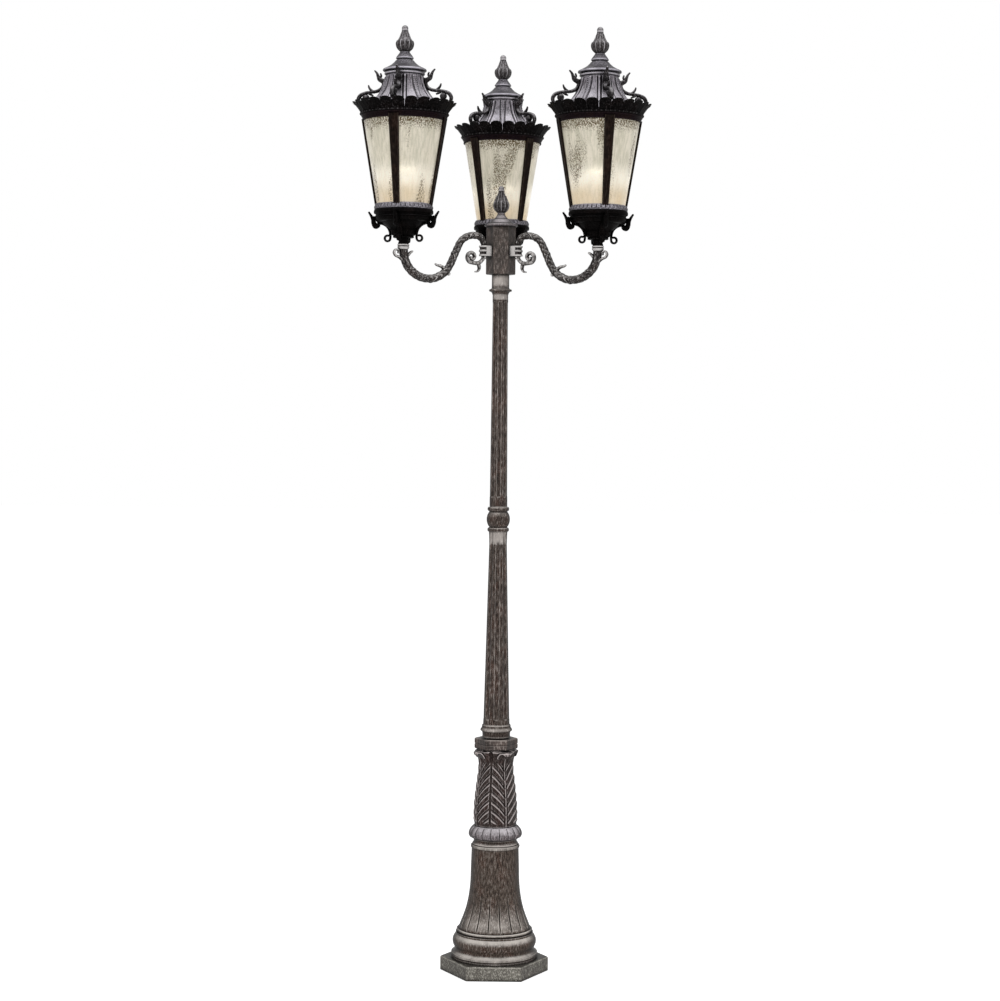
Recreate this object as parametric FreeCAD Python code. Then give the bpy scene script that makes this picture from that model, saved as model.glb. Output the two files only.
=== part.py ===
import FreeCAD, Part
import math
import os

# A free-standing cast lamp post with three lanterns on S-shaped arms.
# Millimetres, +Z up, origin on the post axis at the floor, front towards -Y.
# A "rise" is a height above the foot of its own piece, and an R is a radius.

V = FreeCAD.Vector
UP = V(0, 0, 1)
ORIGIN = V(0, 0, 0)

# ---------------------------------------------------------------- layout
ARM_AZIMUTHS = {"left": 210.0, "right": 330.0, "rear": 90.0}
ARM_REACH = 284.5
CLEAR = 0.3
THREAD_CLEAR = 0.05
HEX_SIDES = 6

# ---------------------------------------------------------------- base plate
PLATE_CORNER_R = 141.6
PLATE_HEIGHT = 36.8
PLATE_WEB = 12.0
PLATE_WALL = 10.0
PLATE_CHAMFER = 3.0
PLATE_BOSS_R = 22.0
PLATE_BOSS_FOOT = 12.0
SPIGOT_HEIGHT = 4.0
SPIGOT_WALL = 6.0
ANCHOR_COUNT = 3
ANCHOR_CIRCLE_R = 75.0
ANCHOR_HOLE_R = 6.5
ANCHOR_BOSS_R = 17.0

# ---------------------------------------------------------------- core pipe and nut
PIPE_R = 13.35
PIPE_BORE_R = 10.45
PIPE_STAND_OUT = 14.0
NUT_CORNER_R = 21.0
NUT_HEIGHT = 9.0
END_WEB = 10.0

# ---------------------------------------------------------------- bell
PLINTH_R = 113.0
PLINTH_RISE = 13.8
COVE_R = 104.0
COVE_RISE = 26.8
COVE_DEPTH = 3.0
TORUS_TOP_R = 101.3
TORUS_TOP_RISE = 62.2
TORUS_BULGE = 7.0
FILLET_RISE = 67.2
RING_R = 96.7
RING_RISE = 76.7
BELL_FLUTES = 18
# each station of the fluted flare: rise, radius at the arrises, depth of the flutes
BELL_STATIONS = [
    (76.0, 95.0, 1.5),
    (86.0, 92.0, 3.6),
    (106.6, 83.6, 3.8),
    (132.7, 74.9, 3.2),
    (158.8, 69.2, 2.4),
    (185.0, 65.5, 1.8),
    (242.0, 63.0, 1.2),
    (288.0, 61.6, 0.8),
]
BELL_RING_R = 63.0
BELL_HEIGHT = 297.2
BELL_WALL = 6.0
BELL_SKIRT_WALL = 9.0

# ---------------------------------------------------------------- urn with leaves, and block
URN_NECK_R = 59.5
URN_NECK_RISE = 15.5
GADROON_LOBES = 18
GADROON_R = 69.0
GADROON_FOOT_R = 57.5
GADROON_TOP_R = 56.0
GADROON_BULGE = 2.6
GADROON_RISE = 50.7
GADROON_WIDEST_RISE = 28.5
URN_CORE = [(52.0, 54.0), (71.0, 50.0), (117.0, 47.5), (152.0, 43.5), (176.0, 40.0), (201.0, 36.5), (222.0, 36.5)]
URN_CORE_TOP_R = 38.0
LEAF_COUNT = 4
LEAF_AZIMUTH = 30.0
LEAF_SURFACE = [(71.0, 55.6), (117.0, 53.5), (152.0, 49.5), (176.0, 46.3), (201.0, 42.5), (221.0, 44.5), (233.0, 50.0)]
LEAF_LIP_R = 56.5
LEAF_LIP_RISE = 241.0
LEAF_LIP_EDGE = 4.0
LEAF_BACK = [(238.0, 47.0), (226.0, 40.0), (212.0, 34.0)]
LEAF_FOOT_HALF = 36.0
LEAF_TIP_HALF = 27.0
LEAF_LOBES = 5
LEAF_LOBE_BULGE = 5.0
BLOCK_CORNER_R = 56.6
BLOCK_FOOT_RISE = 251.0
URN_HEIGHT = 279.0
BLOCK_CHAMFER = 2.0
URN_BORE_R = 30.0

# ---------------------------------------------------------------- lower shaft
SHAFT_NECK_R = 37.7
SHAFT_NECK_RISE = 18.0
SHAFT_RING_R = 41.4
SHAFT_RING_RISE = 25.0
SHAFT_FLARE_RISE = 34.0
LOWER_FOOT_R = 34.6
LOWER_FOOT_RISE = 39.0
LOWER_HEAD_R = 23.5
LOWER_HEAD_RISE = 508.0
LOWER_TOP_R = 24.4
LOWER_HEIGHT = 541.0
LOWER_HOLLOW_FOOT_R = 26.0
LOWER_HOLLOW_HEAD_R = 17.0
SHAFT_FLUTES = 8
FLUTE_DEPTH = 2.4
FLUTE_SHARE = 0.30
FLUTE_END_GAP = 12.0

# ---------------------------------------------------------------- ball collar
COLLAR_RING_R = 28.2
COLLAR_RING_HEIGHT = 10.0
COLLAR_GROOVE_R = 24.0
COLLAR_GROOVE_HEIGHT = 4.0
BALL_END_R = 25.2
BALL_HEIGHT = 36.0
BALL_BULGE = 5.2

# ---------------------------------------------------------------- upper shaft and neck
UPPER_FOOT_R = 23.1
UPPER_HEAD_R = 20.2
UPPER_HEIGHT = 553.0
UPPER_FOOT_MARGIN = 24.0
UPPER_HEAD_MARGIN = 18.0
NECK_CONE_RISE = 8.0
NECK_FLANGE_R = 28.7
NECK_FLANGE_RISE = 13.0
NECK_R = 22.7
NECK_HEIGHT = 51.6

# ---------------------------------------------------------------- hub, cap and finial
HUB_CORNER_R = 38.3
HUB_HEIGHT = 124.4
HUB_WALL = 6.0
HUB_BAR_WIDTH = 12.0
HUB_BAR_DROP = 20.0
HUB_BAR_HEIGHT = 8.0
CAP_BRIM_R = 42.0
CAP_BRIM_HEIGHT = 5.0
CAP_SHOULDER_R = 24.0
CAP_SHOULDER_RISE = 17.0
CAP_TOP_R = 9.0
CAP_HEIGHT = 35.0
CAP_SPIGOT_DEPTH = 6.0
HUB_FINIAL_FOOT_R = 8.0
HUB_FINIAL_R = 21.0
HUB_FINIAL_WIDEST = 20.0
HUB_FINIAL_NECK_R = 6.0
HUB_FINIAL_NECK = 56.0
HUB_FINIAL_BALL_R = 7.6
STUD_R = 3.0
STUD_HOLE_R = 3.6

# ---------------------------------------------------------------- arms
ARM_SEAT_RISE = 53.4
ARM_CREST_ABOVE_SEAT = 38.0
ARM_LOW_BELOW_SEAT = 78.5
ARM_END_ABOVE_SEAT = 11.0
ARM_COLLAR_REACH = 50.0
ARM_SLOPE = 64.0
ARM_BOWL_BEND = 68.0
ARM_CREST_BEND = 46.0
ARM_COLLAR_BEND = 25.0
ARM_ENTRY_BEND = 11.0
ARM_OUTER_R = 12.0
ARM_INNER_R = 8.25
ARM_BORE_R = 3.5
ARM_END_R = 15.0
ARM_END_COLLAR = 10.0
ARM_COLLAR_R = 11.8
ARM_BAND_R = 13.2
ARM_BAND_HEIGHT = 4.0
ARM_COLLAR_BELOW_SEAT = 7.5
ARM_COLLAR_ABOVE_SEAT = 19.0
ARM_BOSS_WIDTH = 26.0
SCREW_R = 2.5
SCREW_HEAD_R = 4.2
SCREW_HEAD = 4.0
SCREW_REACH = 8.0
SCREW_SIDE = 8.0
SCREW_ABOVE_SEAT = 8.0
# the scroll under the collar: a neck from the collar, then a closing spiral
SCROLL_NECK = [(0.5, -3.0), (2.0, -11.0), (8.0, -20.0), (18.0, -26.5)]
SCROLL_CENTRE = (37.0, -11.0)
SCROLL_START_R = 16.0
SCROLL_END_R = 5.0
SCROLL_START_ANGLE = 250.0
SCROLL_TURN = 450.0
SCROLL_STEPS = 10
SCROLL_THICK = 6.0
SCROLL_WIDTH = 12.0
# the leaves and curls on the arm, as offsets from the collar axis or the lantern axis and the seat
TAIL_LEAF = [(20.0, -26.0), (14.0, -35.0), (15.5, -43.0), (27.0, -49.0)]
TAIL_LEAF_THICK = [5.0, 7.0, 6.0, 2.5]
SPUR_LEAF = [(-124.0, -61.0), (-112.0, -50.0), (-101.0, -44.0), (-91.0, -43.0)]
SPUR_LEAF_THICK = [8.0, 8.0, 7.0, 3.0]
END_CURL = [(4.0, -28.0), (13.0, -20.0), (23.0, -18.0), (26.5, -9.0), (20.0, -2.5), (13.5, -7.0)]
END_CURL_THICK = [6.0, 6.0, 5.0, 5.0, 5.0, 4.0]
INNER_LEAF = [(-5.0, -22.0), (-13.0, -14.0), (-20.0, -7.0), (-27.0, -6.0)]
INNER_LEAF_THICK = [7.0, 8.0, 7.0, 4.0]
LEAF_WIDTH = 10.0

# ---------------------------------------------------------------- leads
LEAD_R = 1.6
LEAD_CIRCLE_R = 5.5
LEAD_HUB_BEND = 16.0
LEAD_FOOT_GAP = 4.0
CONNECTOR_R = 2.8
CONNECTOR_BORE_R = 1.9
CONNECTOR_LENGTH = 14.0
CONNECTOR_TOP = 2.0

# ---------------------------------------------------------------- cup and its brackets
CUP_NECK_R = 14.6
CUP_NECK_HEIGHT = 18.0
CUP_SKIRT_R = 23.4
CUP_SKIRT_LIP = 4.0
CUP_ARC_CENTRE_R = 63.5
CUP_ARC_RISE = 24.5
CUP_ARC_R = 32.3
CUP_SHOULDER_R = 70.0
CUP_SHOULDER_RISE = 65.0
CUP_LEDGE_R = 74.5
CUP_LEDGE_RISE = 77.0
CUP_HEIGHT = 86.0
CUP_WALL = 5.0
CUP_FLOOR_RISE = 30.0
BRACKET_COUNT = 4
BRACKET_AZIMUTH = 45.0
BRACKET_THICK = 5.0
BRACKET_WIDTH = 12.0
BRACKET_CURL_R = 6.5
HORN = [(69.5, 50.0), (75.0, 57.0), (80.0, 66.0), (85.5, 75.0), (92.0, 83.5)]
HORN_THICK = [15.0, 13.0, 9.5, 7.0, 4.5]

# ---------------------------------------------------------------- lantern frame and glass
FRAME_FLOOR = 4.0
LIGHT_RING_HEIGHT = 15.0
LIGHT_RING_WALL = 5.0
GLASS_FOOT_R = 66.2
GLASS_TOP_R = 102.3
GLASS_HEIGHT = 222.0
GLASS_WALL = 3.0
GLASS_GAP = 0.5
FRAME_HEIGHT = 238.0
TOP_RING_HEIGHT = 15.0
TOP_RING_FOOT_R = 105.5
TOP_RING_HEAD_R = 109.5
RIB_FOOT_WIDTH = 16.0
RIB_HEAD_WIDTH = 27.0
RIB_THICK = 6.0

# ---------------------------------------------------------------- bridge bar with its stud
BRIDGE_WIDTH = 14.0
BRIDGE_THICK = 4.0
BRIDGE_BOSS_R = 7.0
BRIDGE_BOSS_HEIGHT = 8.0

# ---------------------------------------------------------------- crown of petals
PETALS = 24
CROWN_FLANGE_R = 100.0
CROWN_FLANGE = 4.0
CROWN_BEAD_R = 112.0
CROWN_BEAD_HEIGHT = 6.0
CROWN_STATIONS = [(4.0, 109.5), (11.0, 113.5), (19.0, 119.5), (26.0, 126.0), (32.0, 132.0)]
CROWN_HEIGHT = 32.0
CROWN_WALL = 4.0
PETAL_BULGE = 2.2
PETAL_SCALLOP = 9.0

# ---------------------------------------------------------------- roof, vent cap and finial
ROOF_FOOT_R = 104.0
ROOF_SIDE = [(4.5, 102.5), (12.0, 94.0), (25.0, 82.5), (40.0, 71.0), (56.0, 59.5), (76.0, 51.5)]
ROOF_SHOULDER_R = 46.6
ROOF_SHOULDER_RISE = 96.0
ROOF_HEIGHT = 107.0
ROOF_WALL = 3.0
ROOF_RIBS = 12
ROOF_RIB_ANGLE = 5.0
ROOF_RIB_PROUD = 2.5
VENT_BRIM_R = 55.3
VENT_BRIM = 6.0
VENT_DOME = [(10.0, 44.0), (14.0, 34.0), (21.0, 25.0)]
VENT_DOME_TOP_R = 21.7
VENT_DOME_RISE = 28.0
VENT_GROOVE_R = 20.0
VENT_GROOVE = 3.0
VENT_BELL_RISE = 33.0
VENT_HEIGHT = 49.0
VENT_TOP_R = 12.7
FINIAL_R = 22.2
FINIAL_WIDEST = 20.0
FINIAL_NECK_R = 6.5
FINIAL_NECK = 53.0
FINIAL_BALL_R = 8.6
FINIAL_BORE_DEPTH = 14.0

# ---------------------------------------------------------------- roof scrolls
SCROLL_STRIP = 14.0
ROOF_HORN = [(77.5, 110.0), (72.0, 99.0), (66.0, 88.5), (59.5, 84.0), (54.0, 78.0)]
ROOF_HORN_THICK = [4.5, 7.0, 11.0, 10.0, 8.0]
ROOF_SWEEP = [(54.0, 78.0), (58.0, 66.5), (70.0, 59.0), (90.0, 56.0), (110.0, 52.5), (122.0, 44.0), (122.5, 33.0)]
ROOF_SWEEP_THICK = [8.0, 9.0, 8.5, 8.0, 9.0, 10.0, 8.0]
CURL_BALL_R = 9.0
CURL_BALL_AT = (101.0, 43.5)
ROOF_SPUR = [(84.0, 58.0), (90.0, 66.0), (95.0, 72.0)]
ROOF_SPUR_THICK = [8.0, 6.0, 3.0]

# ---------------------------------------------------------------- socket, nipple and bulb
NIPPLE_R = 4.85
NIPPLE_BORE_R = 3.2
NIPPLE_IN_ARM = 12.0
NIPPLE_IN_SOCKET = 10.0
SLEEVE_R = 17.0
SLEEVE_HEIGHT = 47.0
SOCKET_FLOOR = 23.0
BULB_BASE_R = 13.0
BULB_BASE_CLEAR = 0.08
BULB_BASE_HEIGHT = 26.0
BULB_NECK_R = 14.5
BULB_R = 30.0
BULB_SHOULDER_RISE = 60.0
BULB_HEIGHT = 110.0


# ================================================================ helpers
class Outline:
    """A closed outline in the XZ half plane, drawn edge by edge from a start point."""

    def __init__(self, r, z):
        self.start = V(r, 0, z)
        self.at = self.start
        self.edges = []

    def to(self, r, z):
        """Draw a straight edge to (r, z)."""
        end = V(r, 0, z)
        if end.sub(self.at).Length > 1e-6:
            self.edges.append(Part.makeLine(self.at, end))
            self.at = end
        return self

    def bow(self, r, z, bulge):
        """Draw an arc to (r, z) that bulges to the right of the way it runs."""
        end = V(r, 0, z)
        run = end.sub(self.at)
        side = V(run.z, 0, -run.x).normalize()
        middle = self.at.add(end).multiply(0.5).add(side.multiply(bulge))
        self.edges.append(Part.Arc(self.at, middle, end).toShape())
        self.at = end
        return self

    def curve(self, points):
        """Draw a smooth curve through (r, z) points."""
        stops = [self.at] + [V(r, 0, z) for r, z in points]
        spline = Part.BSplineCurve()
        spline.interpolate(stops)
        self.edges.append(spline.toShape())
        self.at = stops[-1]
        return self

    def face(self):
        """Close the outline and return its face."""
        self.to(self.start.x, self.start.z)
        return Part.Face(Part.Wire(self.edges))

    def turned(self, angle=360.0):
        """Turn the outline about the Z axis into a solid."""
        return self.face().revolve(ORIGIN, UP, angle)


def cylinder(r, z0, z1, x=0.0, y=0.0):
    """An upright cylinder from z0 to z1."""
    return Part.makeCylinder(r, z1 - z0, V(x, y, z0), UP)


def tube(r, bore_r, z0, z1):
    """An upright tube on the Z axis."""
    return cylinder(r, z0, z1).cut(cylinder(bore_r, z0 - 1.0, z1 + 1.0))


def hex_prism(corner_r, z0, z1):
    """A hexagonal prism with corners on the X axis."""
    corners = [polar(corner_r, 60.0 * i, z0) for i in range(HEX_SIDES + 1)]
    return Part.Face(Part.makePolygon(corners)).extrude(V(0, 0, z1 - z0))


def chamfered_hex(corner_r, z0, z1, foot, head):
    """A hexagonal prism whose lower and upper edges are chamfered."""
    levels = [(corner_r - foot, z0), (corner_r, z0 + foot), (corner_r, z1 - head), (corner_r - head, z1)]
    solid = None
    for (r0, low), (r1, high) in zip(levels, levels[1:]):
        if high - low < 1e-6:
            continue
        wires = [Part.makePolygon([polar(r, 60.0 * i, z) for i in range(HEX_SIDES + 1)]) for r, z in ((r0, low), (r1, high))]
        slab = Part.makeLoft(wires, True, True)
        solid = slab if solid is None else solid.fuse(slab)
    return solid.removeSplitter()


def polar(r, degrees, z):
    """A point at a radius and azimuth."""
    a = math.radians(degrees)
    return V(r * math.cos(a), r * math.sin(a), z)


def turn(shape, degrees):
    """A copy turned about the Z axis."""
    copy = shape.copy()
    copy.rotate(ORIGIN, UP, degrees)
    return copy


def around(shape, count, first=0.0):
    """Copies of a shape, evenly spaced about the Z axis."""
    return [turn(shape, first + 360.0 * i / count) for i in range(count)]


def lobed_wire(r, depth, z, count):
    """A ring of arcs between cusps at radius r, whose middles stand out by depth."""
    edges = []
    step = 360.0 / count
    for i in range(count):
        start = polar(r, step * i, z)
        middle = polar(r * math.cos(math.radians(step / 2)) + depth, step * (i + 0.5), z)
        end = polar(r, step * (i + 1), z)
        edges.append(Part.Arc(start, middle, end).toShape())
    return Part.Wire(edges)


def ribbon(points, thicks, width):
    """A flat bar bent along a curve in the XZ plane, with its own thickness at each point."""
    centre = [V(r, 0, z) for r, z in points]
    spline = Part.BSplineCurve()
    spline.interpolate(centre)
    left, right = [], []
    for point, thick in zip(centre, thicks):
        along = V(*spline.tangent(spline.parameter(point))[0])
        side = V(along.z, 0, -along.x).multiply(thick / 2)
        left.append(point.add(side))
        right.append(point.sub(side))
    edges = []
    for row in (left, right[::-1]):
        side_curve = Part.BSplineCurve()
        side_curve.interpolate(row)
        edges.append(side_curve.toShape())
    edges.insert(1, Part.makeLine(left[-1], right[-1]))
    edges.append(Part.makeLine(right[0], left[0]))
    face = Part.Face(Part.Wire(edges))
    face.translate(V(0, -width / 2, 0))
    return face.extrude(V(0, width, 0))


def bent_path(corners, bends):
    """Straight runs joined by tangent arcs, each bend as large as its two runs allow."""
    points = [V(r, 0, z) for r, z in corners]
    runs = [b.sub(a).Length for a, b in zip(points, points[1:])]
    reaches = []
    for i, bend in enumerate(bends, start=1):
        before = points[i].sub(points[i - 1])
        after = points[i + 1].sub(points[i])
        reaches.append(bend * math.tan(before.getAngle(after) / 2))
    for i in range(len(reaches)):
        room = runs[i + 1] if i + 1 < len(reaches) else 2 * runs[i + 1]
        pair = reaches[i] + (reaches[i + 1] if i + 1 < len(reaches) else reaches[i])
        if pair > room:
            shrink = 0.98 * room / pair
            reaches[i] *= shrink
            if i + 1 < len(reaches):
                reaches[i + 1] *= shrink
        reaches[i] = min(reaches[i], 0.98 * runs[i])
    edges = []
    at = points[0]
    for i, reach in enumerate(reaches, start=1):
        before = points[i].sub(points[i - 1]).normalize()
        after = points[i + 1].sub(points[i]).normalize()
        start = points[i].sub(V(before).multiply(reach))
        end = points[i].add(V(after).multiply(reach))
        half = before.getAngle(after) / 2
        radius = reach / math.tan(half)
        inward = V(after).sub(before).normalize()
        centre = points[i].add(V(inward).multiply(radius / math.cos(half)))
        middle = centre.sub(V(inward).multiply(radius))
        if start.sub(at).Length > 1e-6:
            edges.append(Part.makeLine(at, start))
        edges.append(Part.Arc(start, middle, end).toShape())
        at = end
    edges.append(Part.makeLine(at, points[-1]))
    return Part.Wire(edges)


def piped(path, radius):
    """A round bar or bore along a bent path."""
    first = path.Edges[0]
    start = first.valueAt(first.FirstParameter)
    along = first.tangentAt(first.FirstParameter)
    section = Part.Wire(Part.makeCircle(radius, start, along))
    return path.makePipeShell([section], True, True)


def tapered_bar(path, start_r, end_r):
    """A round bar along a bent path in the XZ plane, lofted from one radius to another."""
    total = path.Length
    done = 0.0
    rings = []
    for edge in path.Edges:
        arc = isinstance(edge.Curve, Part.Circle)
        steps = max(2, round(edge.Length / 14.0)) if arc else 1
        first = 0 if not rings else 1
        for k in range(first, steps + 1):
            share = k / steps
            at = edge.FirstParameter + share * (edge.LastParameter - edge.FirstParameter)
            point = edge.valueAt(at)
            along = edge.tangentAt(at)
            r = start_r + (end_r - start_r) * (done + share * edge.Length) / total
            ring = Part.makeCircle(r)
            ring.rotate(ORIGIN, V(0, 1, 0), math.degrees(math.atan2(along.x, along.z)))
            ring.translate(point)
            rings.append(Part.Wire(ring))
        done += edge.Length
    return Part.makeLoft(rings, True, False)


def fused(shapes):
    """One solid from touching shapes."""
    solid = shapes[0].multiFuse(shapes[1:]) if len(shapes) > 1 else shapes[0]
    return solid.removeSplitter()


def only_solid(shape):
    """The largest solid of a shape, with slivers dropped."""
    return max(shape.Solids, key=lambda s: s.Volume)


# ================================================================ levels
BELL_Z = PLATE_HEIGHT
URN_Z = BELL_Z + BELL_HEIGHT
LOWER_Z = URN_Z + URN_HEIGHT
COLLAR_Z = LOWER_Z + LOWER_HEIGHT
COLLAR_HEIGHT = 2 * COLLAR_RING_HEIGHT + 2 * COLLAR_GROOVE_HEIGHT + BALL_HEIGHT
UPPER_Z = COLLAR_Z + COLLAR_HEIGHT
NECK_Z = UPPER_Z + UPPER_HEIGHT
HUB_Z = NECK_Z + NECK_HEIGHT
HUB_TOP_Z = HUB_Z + HUB_HEIGHT
HUB_FINIAL_Z = HUB_TOP_Z + CAP_HEIGHT
HUB_FACE_R = HUB_CORNER_R * math.cos(math.radians(30.0))
SEAT_Z = HUB_Z + ARM_SEAT_RISE
CUP_Z = SEAT_Z + ARM_END_ABOVE_SEAT
FRAME_Z = CUP_Z + CUP_HEIGHT
GLASS_Z = FRAME_Z + FRAME_FLOOR
FRAME_TOP_Z = FRAME_Z + FRAME_HEIGHT
ROOF_Z = FRAME_TOP_Z + CROWN_FLANGE
VENT_Z = ROOF_Z + ROOF_HEIGHT
FINIAL_Z = VENT_Z + VENT_HEIGHT
PIPE_TOP_Z = HUB_Z + END_WEB + PIPE_STAND_OUT
PIPE_HOLE_R = PIPE_R + CLEAR


# ================================================================ post
def base_plate():
    """Hexagonal foot: a web with a skirt, a threaded boss, anchor bosses and a spigot."""
    body = chamfered_hex(PLATE_CORNER_R, 0.0, PLATE_HEIGHT, 0.0, PLATE_CHAMFER)
    skirt = PLATE_WALL / math.cos(math.radians(30.0))
    body = body.cut(hex_prism(PLATE_CORNER_R - skirt, -1.0, PLATE_HEIGHT - PLATE_WEB))
    spigot_r = PLINTH_R - BELL_SKIRT_WALL - CLEAR
    spigot = tube(spigot_r, spigot_r - SPIGOT_WALL, PLATE_HEIGHT, PLATE_HEIGHT + SPIGOT_HEIGHT)
    boss = cylinder(PLATE_BOSS_R, PLATE_BOSS_FOOT, PLATE_HEIGHT)
    anchor_boss = cylinder(ANCHOR_BOSS_R, 0.0, PLATE_HEIGHT, ANCHOR_CIRCLE_R)
    anchor_hole = cylinder(ANCHOR_HOLE_R, -1.0, PLATE_HEIGHT + 1.0, ANCHOR_CIRCLE_R)
    body = fused([body, spigot, boss] + around(anchor_boss, ANCHOR_COUNT, 90.0))
    holes = around(anchor_hole, ANCHOR_COUNT, 90.0)
    holes.append(cylinder(PIPE_R + THREAD_CLEAR, -1.0, PLATE_HEIGHT + 1.0))
    return body.cut(Part.makeCompound(holes))


def base_bell():
    """Bell casting: plinth, cove, torus and a fluted flare, hollow over the plate."""
    foot = Outline(PIPE_HOLE_R, BELL_Z)
    foot.to(PLINTH_R, BELL_Z)
    foot.to(PLINTH_R, BELL_Z + PLINTH_RISE)
    foot.bow(COVE_R, BELL_Z + COVE_RISE, -COVE_DEPTH)
    foot.bow(TORUS_TOP_R, BELL_Z + TORUS_TOP_RISE, TORUS_BULGE)
    foot.to(TORUS_TOP_R, BELL_Z + FILLET_RISE)
    foot.to(RING_R, BELL_Z + FILLET_RISE)
    foot.bow(RING_R, BELL_Z + RING_RISE, 1.5)
    foot.to(PIPE_HOLE_R, BELL_Z + RING_RISE)
    wires = [lobed_wire(r, -depth, BELL_Z + rise, BELL_FLUTES) for rise, r, depth in BELL_STATIONS]
    flare = Part.makeLoft(wires, True, False)
    top_rise, top_r, _ = BELL_STATIONS[-1]
    ring = Outline(PIPE_HOLE_R, BELL_Z + top_rise)
    ring.to(top_r, BELL_Z + top_rise)
    ring.bow(BELL_RING_R - 1.5, BELL_Z + BELL_HEIGHT, 1.5)
    ring.to(PIPE_HOLE_R, BELL_Z + BELL_HEIGHT)
    hollow_r = PLINTH_R - BELL_SKIRT_WALL
    hollow = Outline(0.0, BELL_Z - 1.0)
    hollow.to(hollow_r, BELL_Z - 1.0)
    hollow.to(hollow_r, BELL_Z + PLINTH_RISE)
    hollow.to(COVE_R - BELL_SKIRT_WALL, BELL_Z + COVE_RISE)
    hollow.to(RING_R - BELL_SKIRT_WALL, BELL_Z + RING_RISE)
    for rise, r, depth in BELL_STATIONS[2:-1]:
        hollow.to(r - depth - BELL_WALL, BELL_Z + rise)
    hollow.to(top_r - BELL_WALL - 2.0, BELL_Z + BELL_HEIGHT - END_WEB)
    hollow.to(0.0, BELL_Z + BELL_HEIGHT - END_WEB)
    body = fused([foot.turned(), flare, ring.turned()])
    bore = cylinder(PIPE_HOLE_R, BELL_Z, BELL_Z + BELL_HEIGHT + 1.0)
    return only_solid(body.cut(hollow.turned()).cut(bore))


def leaf_outline():
    """A lobed leaf blank, as a slab along +X that trims the ring of leaves."""
    foot_z = URN_Z + GADROON_RISE + 1.0
    tip_z = URN_Z + LEAF_LIP_RISE + LEAF_LIP_EDGE
    notches = []
    for i in range(LEAF_LOBES + 1):
        share = i / LEAF_LOBES
        half = LEAF_FOOT_HALF + (LEAF_TIP_HALF - LEAF_FOOT_HALF) * share
        notches.append((half, foot_z + (tip_z - 8.0 - foot_z) * share))
    edges = []
    for (w0, z0), (w1, z1) in zip(notches, notches[1:]):
        bulge = V(0, (w0 + w1) / 2 + LEAF_LOBE_BULGE, (z0 + z1) / 2 + LEAF_LOBE_BULGE)
        edges.append(Part.Arc(V(0, w0, z0), bulge, V(0, w1, z1)).toShape())
    w, z = notches[-1]
    edges.append(Part.Arc(V(0, w, z), V(0, 0, tip_z + 1.0), V(0, -w, z)).toShape())
    for (w0, z0), (w1, z1) in reversed(list(zip(notches, notches[1:]))):
        bulge = V(0, -(w0 + w1) / 2 - LEAF_LOBE_BULGE, (z0 + z1) / 2 + LEAF_LOBE_BULGE)
        edges.append(Part.Arc(V(0, -w1, z1), bulge, V(0, -w0, z0)).toShape())
    w, z = notches[0]
    edges.append(Part.makeLine(V(0, -w, z), V(0, w, z)))
    return Part.Face(Part.Wire(edges)).extrude(V(LEAF_LIP_R + 10.0, 0, 0))


def base_urn():
    """Urn casting: neck, gadroon ring, four acanthus leaves and the hexagonal block."""
    neck = Outline(0.0, URN_Z)
    neck.to(URN_NECK_R, URN_Z)
    neck.bow(URN_NECK_R - 2.0, URN_Z + URN_NECK_RISE, -2.0)
    neck.to(0.0, URN_Z + URN_NECK_RISE)
    mid_low = (URN_NECK_RISE + GADROON_WIDEST_RISE) / 2
    mid_high = (GADROON_RISE + GADROON_WIDEST_RISE) / 2
    rows = [
        (URN_NECK_RISE, GADROON_FOOT_R),
        (mid_low, GADROON_R - 2.5),
        (GADROON_WIDEST_RISE, GADROON_R),
        (mid_high, GADROON_R - 3.5),
        (GADROON_RISE, GADROON_TOP_R),
    ]
    wires = [lobed_wire(r, GADROON_BULGE, URN_Z + rise, GADROON_LOBES) for rise, r in rows]
    gadroon = Part.makeLoft(wires, True, False)
    core = Outline(0.0, URN_Z + GADROON_RISE)
    core.to(URN_CORE[0][1] + 1.0, URN_Z + GADROON_RISE)
    core.curve([(r, URN_Z + rise) for rise, r in URN_CORE])
    core.curve([(URN_CORE_TOP_R, URN_Z + BLOCK_FOOT_RISE)])
    core.to(0.0, URN_Z + BLOCK_FOOT_RISE)
    ring = Outline(URN_CORE_TOP_R - 6.0, URN_Z + GADROON_RISE + 2.0)
    ring.to(GADROON_TOP_R, URN_Z + GADROON_RISE + 2.0)
    surface = [(r, URN_Z + rise) for rise, r in LEAF_SURFACE]
    ring.curve(surface + [(LEAF_LIP_R, URN_Z + LEAF_LIP_RISE)])
    ring.to(LEAF_LIP_R - 2.0, URN_Z + LEAF_LIP_RISE + LEAF_LIP_EDGE)
    ring.curve([(r, URN_Z + rise) for rise, r in LEAF_BACK])
    ring.to(URN_CORE_TOP_R - 6.0, URN_Z + LEAF_BACK[-1][0])
    leaf = only_solid(ring.turned().common(leaf_outline()))
    leaves = around(leaf, LEAF_COUNT, LEAF_AZIMUTH)
    block = chamfered_hex(BLOCK_CORNER_R, URN_Z + BLOCK_FOOT_RISE, URN_Z + URN_HEIGHT, BLOCK_CHAMFER, BLOCK_CHAMFER)
    body = fused([neck.turned(), gadroon, core.turned(), block] + leaves)
    hollow = cylinder(URN_BORE_R, URN_Z + END_WEB, URN_Z + URN_HEIGHT - END_WEB)
    bore = cylinder(PIPE_HOLE_R, URN_Z - 1.0, URN_Z + URN_HEIGHT + 1.0)
    return only_solid(body.cut(hollow).cut(bore))


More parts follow.
